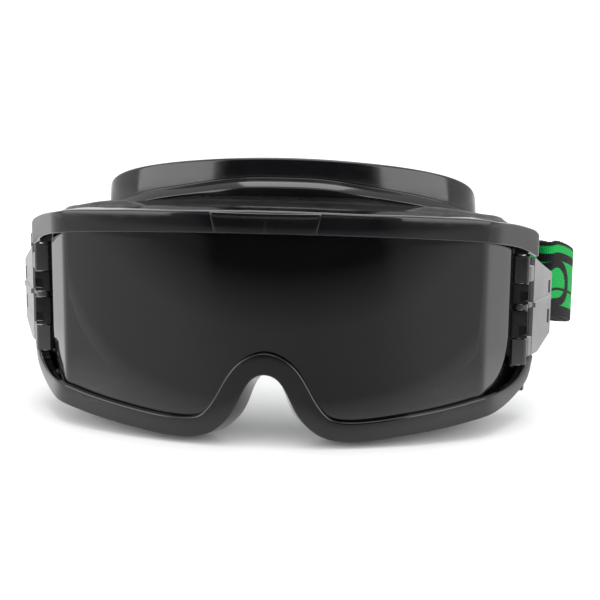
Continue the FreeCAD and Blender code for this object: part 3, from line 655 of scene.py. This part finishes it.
def webbing_finish():
    """Knitted elastic webbing: green field, black borders and a chain of rings on a thin line."""
    finish = Finish("elastic_webbing", GREEN, 0.8, Sheen_Weight=0.04, Sheen_Roughness=0.4,
                    Specular_IOR_Level=0.12)
    place_in_weave = finish.split(finish.node("UVMap", uv_map="webbing").outputs["UV"])
    along, across = place_in_weave["X"], place_in_weave["Y"]
    width = STRAP_WIDTH * MM

    def product(a, b):
        return finish.math("MULTIPLY", a, b)

    def band(source, low, high, soft):
        """1 between low and high, with an edge of the breadth soft beyond each."""
        return product(finish.span(source, low, low + soft, 0, 1),
                       finish.span(source, high - soft, high, 1, 0))

    def bar(low, high):
        return band(across, low - LINE_SOFTNESS, high + LINE_SOFTNESS, 2 * LINE_SOFTNESS)

    turns = finish.math("DIVIDE", finish.math("SUBTRACT", along, FIRST_RING), RING_PITCH)
    phase = finish.math("SUBTRACT", finish.math("FRACT", finish.math("ADD", turns, 0.5)), 0.5)
    x = product(phase, RING_PITCH * RING_SQUEEZE)
    y = product(finish.math("SUBTRACT", across, RING_ACROSS), width)
    radius = finish.math("SQRT", finish.math("ADD", product(x, x), product(y, y)))
    dark = band(radius, RING_INNER, RING_OUTER, RING_SOFTNESS)
    for line in (THIN_LINE, *BORDERS):
        dark = finish.math("MAXIMUM", dark, bar(*line))

    cloth = finish.node("CombineXYZ")
    finish.link(product(along, 2 * math.pi / KNIT_PITCH), cloth.inputs["X"])
    finish.link(product(across, 2 * math.pi * width / KNIT_PITCH * 0.8), cloth.inputs["Y"])
    waves = []
    for direction in ("X", "Y"):
        wave = finish.node("TexWave", wave_type="BANDS", bands_direction=direction, in_Scale=1.0,
                           in_Distortion=1.2, in_Detail_Scale=3.0)
        finish.link(cloth.outputs["Vector"], wave.inputs["Vector"])
        waves.append(wave.outputs["Fac"])
    knit = product(*waves)
    fibre = finish.noise(4200, 3, 0.7)
    # Darker where the knit's height is low: painted shade in the grooves between loops, with random
    # fibre tone on top.
    bright = finish.math("ADD", product(knit, 0.6), product(fibre, 0.5))
    green = finish.ramp(bright, [(0.12, tone(GREEN, 0.5)), (0.55, GREEN),
                                 (0.95, tone(GREEN, 1.25, 0.01))])
    black = finish.ramp(bright, [(0.2, BLACK_YARN), (0.95, (0.014, 0.013, 0.015))])
    # Paler green towards edge-on view: a painted sheen in the base colour.
    edge_on = finish.node("LayerWeight", in_Blend=0.25).outputs["Facing"]
    green_with_painted_sheen = finish.mix(finish.span(edge_on, 0.6, 1.0, 0, 0.4), green, PAINTED_SHEEN_GREEN)
    finish.colour(finish.mix(dark, green_with_painted_sheen, black))
    finish.roughness(finish.span(fibre, 0.3, 0.7, 0.7, 0.92))
    under = finish.bump(knit, 0.55, 0.0003)
    finish.bump(fibre, 0.25, 0.00015, under)
    return finish.material


def paint(nodes, material):
    """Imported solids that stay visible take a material."""
    for node in nodes:
        NODES[node].data.materials.clear()
        NODES[node].data.materials.append(material)


def soften_edges(node, width):
    """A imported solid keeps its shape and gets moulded, rounded edges."""
    obj = NODES[node]
    for layer in ("custom_normal", "sharp_edge"):
        found = obj.data.attributes.get(layer)
        if found:
            obj.data.attributes.remove(found)
    obj.data.shade_smooth()
    weld = obj.modifiers.new("weld", "WELD")
    weld.merge_threshold = 2e-6
    flat = obj.modifiers.new("flat", "DECIMATE")
    flat.decimate_type = "DISSOLVE"
    flat.angle_limit = math.radians(0.6)
    bevel = obj.modifiers.new("edges", "BEVEL")
    bevel.width = width * MM
    bevel.segments = 3
    bevel.limit_method = "ANGLE"
    bevel.angle_limit = math.radians(30.0)
    bevel.harden_normals = True


# ---- front frame -----------------------------------------
def rim_band(name, rows, flare):
    """Upper or lower rim: a lip over the lens, a rounded face and a wall to the back."""
    sections = []
    for xi, zi, xo, zo in smooth_table(both_halves(rows, (0, 2)), 1.2):
        def corner(share, depth):
            x = xi + share * (xo - xi)
            return inward(x, zi + share * (zo - zi), depth, rim_plan)

        depth = rim_depth(xi)
        body = min(RIM_BODY_DEPTH, depth - 0.4)
        corners = [
            corner(0.0, LIP_THICKNESS), corner(0.0, 0.1), corner(CHAMFER_SHARE, 0.1),
            corner(1.0, 1.2), corner(1.0 + flare, depth), corner(WALL_SHARE + flare, depth),
            corner(WALL_SHARE, body), corner(LIP_SHARE, body), corner(LIP_SHARE, LIP_THICKNESS),
        ]
        sections.append(eased(corners, (0.3, 0.75, 1.3, 1.2, 0.5, 0.5, 0.3, 0.3, 0.2)))
    band = loft(name, sections, end_round=1.2)
    for vertex in band.data.vertices:
        vertex.co.z = max(vertex.co.z, 0.0)      # the rim's low corners stand flat
    return band


def badge_pad():
    """Blank raised pad with slanted sides, on the top centre of the rim."""
    low, high = BADGE_HEIGHTS
    sections = []
    for share in np.linspace(-1, 1, 41):
        def corner(z, proud):
            half = np.interp(z, BADGE_HEIGHTS, BADGE_HALF_WIDTHS)
            return inward(share * half, z, -proud, rim_plan)

        corners = [corner(low, -BADGE_ROOT), corner(low, BADGE_RISE),
                   corner(high, BADGE_RISE), corner(high, -BADGE_ROOT)]
        sections.append(eased(corners, (0.1, 0.45, 0.45, 0.1), 3))
    return loft("badge_pad", sections, end_round=0.4)


def side_post(side):
    sections = []
    for z in np.linspace(*POST_HEIGHTS, 24):
        corners = [np.array([side * x, y, z]) for x, y in POST_OUTLINE]
        sections.append(eased(corners, [0.5] * len(corners), 3))
    return loft("post", sections, end_round=0.4)


def front_frame(material):
    upper = rim_band("upper", UPPER_RIM, 0.0)
    lower = rim_band("lower", LOWER_RIM, RIM_FLARE)
    whole = joined("frame_shell", [upper, lower, side_post(1), side_post(-1), badge_pad()])
    whole.data.shade_smooth()
    whole.data.set_sharp_from_angle(angle=math.radians(32))
    finish_piece(whole, material, "front_frame")


# ---- lens ------------------------------------------------
def lens_edge(rows):
    """Upper or lower outline of the lens under the rim's lip, as (x, z) rows."""
    found = []
    for xi, zi, xo, zo in smooth_table(both_halves(rows, (0, 2)), 1.5):
        x = xi + LENS_UNDER_LIP * (xo - xi)
        x -= math.copysign(LENS_BEHIND_RIM * math.sin(rim_plan(x)[1]), x) if x else 0
        found.append((x, zi + LENS_UNDER_LIP * (zo - zi)))
    return np.array(found)


def lens_piece(material):
    upper, lower = lens_edge(UPPER_RIM), lens_edge(LOWER_RIM)
    corner_width, corner_height = LENS_CORNER
    rows = 14
    radii = ([0.5] + [0] * (rows - 2) + [0.5]) * 2
    sections = []
    for x in np.linspace(-LENS_HALF_WIDTH, LENS_HALF_WIDTH, 161):
        top = float(np.interp(x, upper[:, 0], upper[:, 1]))
        top = min(top, LENS_TOP_CORNER + LENS_TOP_SLOPE * (LENS_HALF_WIDTH - abs(x)))
        low = float(np.interp(x, lower[:, 0], lower[:, 1]))
        past = max(0.0, abs(x) - (LENS_HALF_WIDTH - corner_width)) / corner_width
        low += corner_height * (1 - math.sqrt(max(0.0, 1 - past ** 2)))
        front = [inward(x, z, 0.0, lens_plan) for z in np.linspace(low, top, rows)]
        back = [inward(x, z, LENS_THICKNESS, lens_plan) for z in np.linspace(top, low, rows)]
        sections.append(eased(front + back, radii, 3))
    finish_piece(loft("lens_pane", sections, end_round=0.6), material, "lens")


# ---- soft body and face seal -----------------------------
def skirt_stations(step):
    return smooth_table(ring_of(SKIRT, (0, 3)), step, closed=True)


def view_normals(points):
    """Directions to the inside of a closed outline, across the view from the front."""
    run = np.roll(points, -1, axis=0) - np.roll(points, 1, axis=0)
    normals = np.stack([run[:, 2], 0 * run[:, 0], -run[:, 0]], axis=1)
    normals /= np.linalg.norm(normals, axis=1)[:, None]
    centre = points.mean(axis=0)
    if ((points - centre) * normals).sum() > 0:
        normals = -normals
    return normals


def soft_body(material):
    """Flexible body with a flange that grips the frame, a shallow waist and a turned lip."""
    stations = skirt_stations(1.6)
    front, face = stations[:, :3], stations[:, 3:]
    in_front = view_normals(front)
    in_face = view_normals(face)
    high = np.interp(front[:, 2], SHOULDER_HEIGHTS, (0, 1))
    aside = np.interp(np.abs(front[:, 0]), SHOULDER_ASIDE, (0, 1))
    shoulder = high * aside * aside * (3 - 2 * aside)
    rows = []
    for share, inside in BODY_PROFILE:
        direction = in_front * (1 - share) + in_face * share
        row = front * (1 - share) + face * share + direction * inside
        if inside < WALL_INSIDE:
            swell = math.exp(-((share - SHOULDER_PEAK) / SHOULDER_SPREAD) ** 2)
            row[:, 2] += shoulder * SHOULDER_RISE * swell
        rows.append(row)
    body = loft("soft_body", np.stack(rows, axis=1), closed=True, sharp=75)
    smoothed(body, 1)
    finish_piece(body, material, "soft_skirt")


def face_pad(material):
    """Foam lip that lies on the face: crowned, with rolled edges and a pressed seam."""
    face = skirt_stations(2.0)[:, 3:]
    inside = view_normals(face)
    waves = np.random.default_rng(7).uniform(0, 2 * math.pi, 5)
    places = np.linspace(0, 2 * math.pi, len(face), endpoint=False)
    swell = sum(np.sin(places * (9 + 7 * k) + w) for k, w in enumerate(waves)) * 0.05
    rows = []
    for inner, lift in PAD_PROFILE:
        back = np.array([0.0, 1.0, 0.0]) * (lift + swell * (lift > 1))[:, None]
        rows.append(face + inside * inner + back)
    pad = loft("face_pad", np.stack(rows, axis=1), closed=True, sharp=80)
    smoothed(pad, 2)
    finish_piece(pad, material, "face_seal")


# ---- vent hood -------------------------------------------
def hood(material):
    """Raised band with rounded edges over a stepped lower wall."""
    stations = smooth_table(both_halves(HOOD, (0,)), 1.3)
    middle = stations[:, :2]
    run = np.gradient(middle, axis=0)
    run /= np.linalg.norm(run, axis=1)[:, None]
    ahead = np.stack([run[:, 1], -run[:, 0]], axis=1)
    sections = []
    for point, forward, (base, low, high, step) in zip(middle, ahead, stations[:, 2:]):
        def corner(offset, z):
            return np.array([*(point + forward * offset), z])

        ledge = low - HOOD_STEP_RISE
        groove = min(1.0, 0.5 * (ledge - base))
        corners = [
            corner(step, base), corner(step, ledge - groove * 0.2),
            corner(step * 0.62, low - HOOD_STEP_RISE * 0.55), corner(0.5, low - 0.5),
            corner(0.5, low), corner(0.0, high),
            corner(-HOOD_THICKNESS, high), corner(-HOOD_THICKNESS, base),
        ]
        sections.append(eased(corners, (0.3, 0.7, 1.2, 0.5, 0.5, 0.9, 0.9, 0.3)))
    finish_piece(loft("hood_shell", sections, end_round=0.9), material, "vent_hood")


# ---- foam filters ----------------------------------------
def filter_pad(name, node, material, bowed):
    """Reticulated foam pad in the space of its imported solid, slightly swollen and uneven."""
    mesh = NODES[node].data
    points = np.array([v.co for v in mesh.vertices])
    centre = points.mean(axis=0)
    turned = np.linalg.svd(points - centre, full_matrices=False)[2]
    flat = (points - centre) @ turned.T
    half = np.abs(flat).max(axis=0) * np.array([0.97, 0.95, 0.9])
    bow = np.polyfit(flat[:, 0], flat[:, 1], 2)[0] if bowed else 0.0
    phase = np.random.default_rng(11).uniform(0, 6.28, 2)
    work = bmesh.new()
    bmesh.ops.create_cube(work, size=2.0)
    bmesh.ops.subdivide_edges(work, edges=work.edges, cuts=15, use_grid_fill=True)
    for v in work.verts:
        p = np.array(v.co)
        edge = np.sort(np.abs(p))[1]
        shrink = 1 - 0.07 * max(0.0, edge - 0.72) / 0.28
        ripple = 0.02 * math.sin(9 * p[0] + phase[0]) * math.sin(8 * p[1] + phase[1])
        p = p * shrink * half
        p[2] *= 1 + ripple
        p[1] += bow * p[0] ** 2
        v.co = Vector(centre + p @ turned)
    pad = link_data(name, bpy.data.meshes.new(name))
    work.to_mesh(pad.data)
    work.free()
    pad.data.shade_smooth()
    finish_piece(pad, material, node)


# ---- webbing ---------------------------------------------
def on_circle(centre, radius, degrees):
    angle = math.radians(degrees)
    return np.array([centre[0] + radius * math.cos(angle), centre[1] + radius * math.sin(angle)])


def arc(centre, radius, first, last, offset=None, step=1.4):
    """Stations (x, y, outward x, outward y) along an arc, with an inward offset by angle."""
    count = max(2, int(math.radians(abs(last - first)) * radius / step))
    stations = []
    for degrees in np.linspace(first, last, count + 1):
        back = offset(degrees) if offset else 0.0
        stations.append(np.concatenate([on_circle(centre, radius - back, degrees),
                                        on_circle((0, 0), 1.0, degrees)]))
    return stations


def layer_offset(first, settle):
    """Depth of the inner layer: it leaves the bar's far side and settles under the outer one."""
    def offset(degrees):
        t = min(abs(degrees - first) / settle, 1.0)
        ease = t * t * (3 - 2 * t)
        return 2 * LOOP_RADIUS + (LAYER_GAP - 2 * LOOP_RADIUS) * ease
    return offset


def strap_height(y):
    """Height of the webbing's middle line at a depth."""
    t = min(max((y - DROOP_FROM) / (DROOP_TO - DROOP_FROM), 0.0), 1.0)
    eased_t = t * t / (t + DROOP_EASE) * (1 + DROOP_EASE)
    return STRAP_LOW + (STRAP_HIGH - STRAP_LOW) * max(0.0, 1 - eased_t) ** DROOP_POWER


def turn_round(centre, radius, first, side):
    """Stations of the half turn round the clip's bar, from the inner layer to the outer one."""
    bar = on_circle(centre, radius - LOOP_RADIUS, first)
    stations = []
    for swing in np.linspace(180, 0, 13)[1:-1]:
        degrees = first - side * swing
        outward = on_circle((0, 0), 1.0, degrees)
        stations.append(np.concatenate([bar + outward * LOOP_RADIUS, outward]))
    return stations


def tangent_angle():
    """Direction at which the straight run leaves the right-hand arc for the corner's arc."""
    dx = CORNER_CENTRE[0] - RIGHT_CENTRE[0]
    dy = CORNER_CENTRE[1] - RIGHT_CENTRE[1]
    lean = math.asin((RIGHT_RADIUS - CORNER_RADIUS) / math.hypot(dx, dy))
    return math.degrees(math.atan2(dy, dx) - math.pi / 2 + lean)


def inner_layer(stations):
    """The inner layer runs the other way, with its outer face turned to the head."""
    return [np.concatenate([s[:2], -s[2:]]) for s in reversed(stations)]


def right_route():
    first = -RIGHT_START
    tail = arc(RIGHT_CENTRE, RIGHT_RADIUS, first, TAIL_END_RIGHT, layer_offset(first, 32.0))
    turn = turn_round(RIGHT_CENTRE, RIGHT_RADIUS, first, 1)
    tangent = tangent_angle()
    outer = arc(RIGHT_CENTRE, RIGHT_RADIUS, first, tangent)
    corner = arc(CORNER_CENTRE, CORNER_RADIUS, tangent, JOIN_ANGLE)
    start, end = outer[-1], corner[0]
    straight = [start + (end - start) * t for t in np.linspace(0, 1, 61)[1:-1]]
    return inner_layer(tail) + turn + outer + straight + corner


def left_route():
    side = arc(LEFT_CENTRE, LEFT_RADIUS, LEFT_FIRST, 180, layer_offset(LEFT_FIRST, 12.0))
    corner = arc(CORNER_CENTRE, CORNER_RADIUS, 180, TAIL_END_LEFT, lambda degrees: LAYER_GAP)
    turn = turn_round(LEFT_CENTRE, LEFT_RADIUS, LEFT_FIRST, -1)
    outer = arc(LEFT_CENTRE, LEFT_RADIUS, LEFT_FIRST, 180)
    outer += arc(CORNER_CENTRE, CORNER_RADIUS, 180, JOIN_ANGLE)[1:]
    return inner_layer(side + corner[1:]) + turn + outer


def webbing(name, route, along):
    """Ribbed elastic webbing along a route, with rounded, slightly scalloped selvedges."""
    shares = np.linspace(0, 1, RIB_COUNT * 4 + 1)
    half = STRAP_THICKNESS / 2
    rows, places = [], []
    for i, (x, y, out_x, out_y) in enumerate(route):
        if i:
            along += math.hypot(x - route[i - 1][0], y - route[i - 1][1])
        wave = math.sin(along * SCALLOP_WAVES)
        ring = []
        for t in shares:
            from_edge = min(t, 1 - t) * STRAP_WIDTH
            rounding = math.sqrt(1 - max(0.0, 1 - from_edge / SELVEDGE_ROUNDING) ** 2)
            rib = RIB_HEIGHT * (0.5 + 0.5 * math.cos(2 * math.pi * RIB_COUNT * t)) + 0.025 * wave
            ring.append((t, (half - RIB_HEIGHT + rib) * (0.25 + 0.75 * rounding)))
        section = []
        for face, order in ((1, ring), (-1, ring[::-1])):
            for t, out in order:
                width = STRAP_WIDTH + 2 * SCALLOP * wave * (abs(t - 0.5) > 0.49)
                z = strap_height(y) + (t - 0.5) * width
                section.append((x + out_x * face * out, y + out_y * face * out, z))
        rows.append(np.array(section))
        places.append(along)
    made = loft(name, rows, sharp=70)
    layout = made.data.uv_layers.new(name="webbing")
    points = np.array([v.co for v in made.data.vertices]) / MM
    points[:, 1] -= LENS_FRONT / MM
    coordinates = nearest_places(points, route, places)
    for loop in made.data.loops:
        layout.data[loop.index].uv = coordinates[loop.vertex_index]
    return made


def nearest_places(points, route, places):
    """(metres along, share across) of each point of a webbing mesh."""
    middle = np.array([r[:2] for r in route])
    found = []
    for x, y, z in points:
        i = int(((middle - (x, y)) ** 2).sum(axis=1).argmin())
        found.append((places[i] * MM, (z - strap_height(middle[i][1])) / STRAP_WIDTH + 0.5))
    return found


def straps(material):
    """Both webbing pieces, from the clips' bars to the join under the left slide."""
    for name, route, along, body, centre, radius, first, nodes in (
        ("strap_right", right_route(), 0.0, "clip_right", RIGHT_CENTRE, RIGHT_RADIUS, -RIGHT_START,
         ("headband_right", "strap_tail_right", "headband_back")),
        ("strap_left", left_route(), 9.0, "clip_left", LEFT_CENTRE, LEFT_RADIUS, LEFT_FIRST,
         ("headband_left", "strap_tail_left")),
    ):
        made = webbing(name, route, along)
        made.data.materials.append(material)
        bar_x, bar_y = on_circle(centre, radius - LOOP_RADIUS, first)
        start = place([(bar_x, bar_y + 3.0, STRAP_HIGH)])[0]
        end = place([(bar_x, SPLIT_DEPTH, STRAP_HIGH)])[0]
        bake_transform(made)
        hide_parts(*nodes)
        made.visible_glossy = False


# ---- stage -----------------------------------------------
def area_light(name, at, towards, size, power):
    data = bpy.data.lights.new(name, "AREA")
    data.shape = "RECTANGLE"
    data.size, data.size_y = size
    data.energy = power
    light = link_data(name, data)
    light.location = at
    light.rotation_euler = (Vector(towards) - Vector(at)).to_track_quat("-Z", "Y").to_euler()
    light.visible_camera = False


def floor_plane():
    """Pale paper sweep, a hair under the object."""
    mesh = bpy.data.meshes.new("floor")
    work = bmesh.new()
    bmesh.ops.create_circle(work, cap_ends=True, segments=96, radius=FLOOR_RADIUS)
    work.to_mesh(mesh)
    work.free()
    floor = link_data("floor", mesh)
    floor.location.z = -0.0002
    paper = Finish("pale_floor", (0.9, 0.9, 0.91), 0.6)
    paper.colour(paper.ramp(paper.noise(3.0), [(0.3, (0.885, 0.885, 0.895)),
                                               (0.7, (0.91, 0.91, 0.92))]))
    mesh.materials.append(paper.material)


def reflection_card(name, xs, ys, height, shade):
    """Flat card that is seen only in reflections; shade(look) gives its cover and brightness."""
    mesh = bpy.data.meshes.new(name)
    corners = [(xs[i], ys[j], height) for i, j in ((0, 0), (1, 0), (1, 1), (0, 1))]
    mesh.from_pydata(corners, [], [(0, 1, 2, 3)])
    card = link_data(name, mesh)
    look = Finish(name, (0, 0, 0), 1.0)
    cover, strength = shade(look)
    glow = look.node("Emission", in_Strength=strength)
    mixed = look.node("MixShader")
    look.fill(mixed.inputs, (cover, look.node("BsdfTransparent").outputs["BSDF"],
                             glow.outputs["Emission"]))
    look.link(mixed.outputs["Shader"], look.tree.nodes["Material Output"].inputs["Surface"])
    mesh.materials.append(look.material)
    for kind in ("camera", "diffuse", "shadow", "transmission"):
        setattr(card, "visible_" + kind, False)


def front_flag():
    """Dark card flat on the table in front: it darkens the glossy front, most in the middle."""
    def shade(look):
        where = look.split(look.where)
        ahead = look.math("SUBTRACT", LENS_FRONT, where["Y"])
        aside = look.math("SUBTRACT", where["X"], FLAG_CENTRE)
        turn = look.math("ARCTAN2", look.math("ABSOLUTE", aside), look.math("ADD", ahead, 0.05))
        turned = look.math("DIVIDE", turn, math.pi / 2)
        near_cover, far_cover = (look.ramp(turned, [(at, (level,) * 3) for at, level in row])
                                 for row in (NEAR_COVER, FAR_COVER))
        distance = look.span(ahead, 0.16, 0.30, 0, 1)
        begin = look.span(ahead, 0.005, 0.05, 0, 1)
        return look.math("MULTIPLY", begin, look.mix(distance, near_cover, far_cover)), 0.0

    near, far = FLAG_AHEAD
    reflection_card("front_flag", FLAG_X, (LENS_FRONT - near, LENS_FRONT - far), 0.0006, shade)


def side_cards():
    """Bright cards flat on the table beside the goggles, for the turned-back ends."""
    near, far = SIDE_CARD_X
    for name, side in (("side_card_right", 1.0), ("side_card_left", -1.0)):
        def shade(look):
            aside = look.math("MULTIPLY", look.split(look.where)["X"], side)
            return look.span(aside, near, near + 0.06, 0, 1), SIDE_CARD_STRENGTH

        reflection_card(name, (side * near, side * far), SIDE_CARD_Y, 0.0008, shade)


def studio_world():
    """White tent for the eye and for diffuse light; reflections also see its dark front opening."""
    world = bpy.data.worlds.new("studio")
    bpy.context.scene.world = world
    world.use_nodes = True
    world.node_tree.nodes.clear()
    look = Nodes(world.node_tree)
    sky = look.split(look.node("TexCoord").outputs["Generated"])
    turn = look.math("ARCTAN2", sky["X"], look.math("MULTIPLY", sky["Y"], -1.0))
    beside = look.span(look.math("ABSOLUTE", turn), math.radians(OPENING - OPENING_EDGE),
                       math.radians(OPENING + OPENING_EDGE), 0.0, 1.0, "SMOOTHSTEP")
    above = look.span(sky["Z"], 0.45, 0.7, 0.0, 1.0, "SMOOTHSTEP")
    bright = look.math("MAXIMUM", beside, above)
    level = look.math("ADD", look.math("MULTIPLY", bright, TENT_STRENGTH - OPENING_STRENGTH),
                      OPENING_STRENGTH)
    plain, tent = (look.node("Background", in_Color=(1, 1, 1, 1), in_Strength=TENT_STRENGTH)
                   for _ in range(2))
    look.link(level, tent.inputs["Strength"])
    choose = look.node("MixShader")
    look.fill(choose.inputs, (look.node("LightPath").outputs["Is Glossy Ray"],
                              plain.outputs["Background"], tent.outputs["Background"]))
    look.link(choose.outputs["Shader"], look.node("OutputWorld").inputs["Surface"])


def stage():
    bpy.context.scene.view_settings.view_transform = "Standard"
    floor_plane()
    front_flag()
    side_cards()
    studio_world()
    middle = (CAD_BOX[0] + CAD_BOX[1]) / 2
    turn = math.radians(BOX_TURN)
    for name, side in (("softbox_right", 1), ("softbox_left", -1)):
        at = (side * BOX_DISTANCE * math.sin(turn), LENS_FRONT - BOX_DISTANCE * math.cos(turn),
              BOX_HEIGHT)
        area_light(name, at, (middle.x, middle.y, BOX_HEIGHT), (1.0, 0.84), 8.0)
    area_light("top_softbox", (0, 0.05, 1.0), middle, (0.7, 0.6), 5.0)


def camera():
    turn, rise, roll = (math.radians(a) for a in (VIEW_TURN, VIEW_RISE, VIEW_ROLL))
    level = math.cos(rise)
    back = Vector((math.sin(turn) * level, -math.cos(turn) * level, math.sin(rise)))
    target = Vector(place([VIEW_TARGET])[0])
    data = bpy.data.cameras.new("camera")
    data.lens = LENS_LENGTH
    data.sensor_width = SENSOR_WIDTH
    data.clip_start = 0.01
    data.clip_end = 50.0
    made = link_data("camera", data)
    made.location = target + back * VIEW_DISTANCE * MM
    made.rotation_mode = "QUATERNION"
    made.rotation_quaternion = ((-back).to_track_quat("-Z", "Y")
                                @ Quaternion(Vector((0, 0, 1)), roll))
    bpy.context.scene.camera = made


# ---- the object ------------------------------------------
def build():
    shell = moulded("gloss_shell", (0.0025, 0.0025, 0.003), 0.06, 0.15)
    knuckles = moulded("hinge_plastic", (0.0025, 0.0025, 0.0035), 0.26, 0.4, 0.1, specular=0.2)
    hood_plastic = moulded("hood_plastic", (0.003, 0.003, 0.0036), 0.08, 0.17)
    slide_plastic = moulded("slide_plastic", (0.01, 0.01, 0.011), 0.28, 0.45, grain=0.25)
    vent_plastic = moulded("vent_plastic", (0.012, 0.012, 0.013), 0.3, 0.45, grain=0.2)
    filter_foam = foam_finish("filter_foam", (0.05, 0.05, 0.052), 0.0011)

    front_frame(shell)
    lens_piece(lens_finish())
    soft_body(vinyl_finish())
    face_pad(foam_finish("face_foam", (0.022, 0.022, 0.024), 0.0007))
    hood(hood_plastic)
    filter_pad("brow_filter", "upper_vent_filter", filter_foam, True)
    straps(webbing_finish())
    for side in ("_right", "_left"):
        filter_pad("cheek_filter" + side, "lower_vent_filter" + side, filter_foam, False)

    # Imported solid, width of its eased edges, material, slot, and whether mirrors show it.
    for node, width, material, slot_name, mirrored_too in (
        ("strap_clip", 0.35, clip_finish(), "clip", False),
        ("hinge_mount", 0.25, knuckles, "hinge_mount", False),
        ("hinge_pin", 0.25, steel_finish(), "pin", False),
        ("strap_slide", 0.4, slide_plastic, "slide", True),
        ("lower_vent_cover", 0.3, vent_plastic, "vent_cover", True),
    ):
        pair = (node + "_right", node + "_left")
        paint(pair, material)
        for name in pair:
            soften_edges(name, width)
            NODES[name].visible_glossy = mirrored_too


build()
stage()
camera()
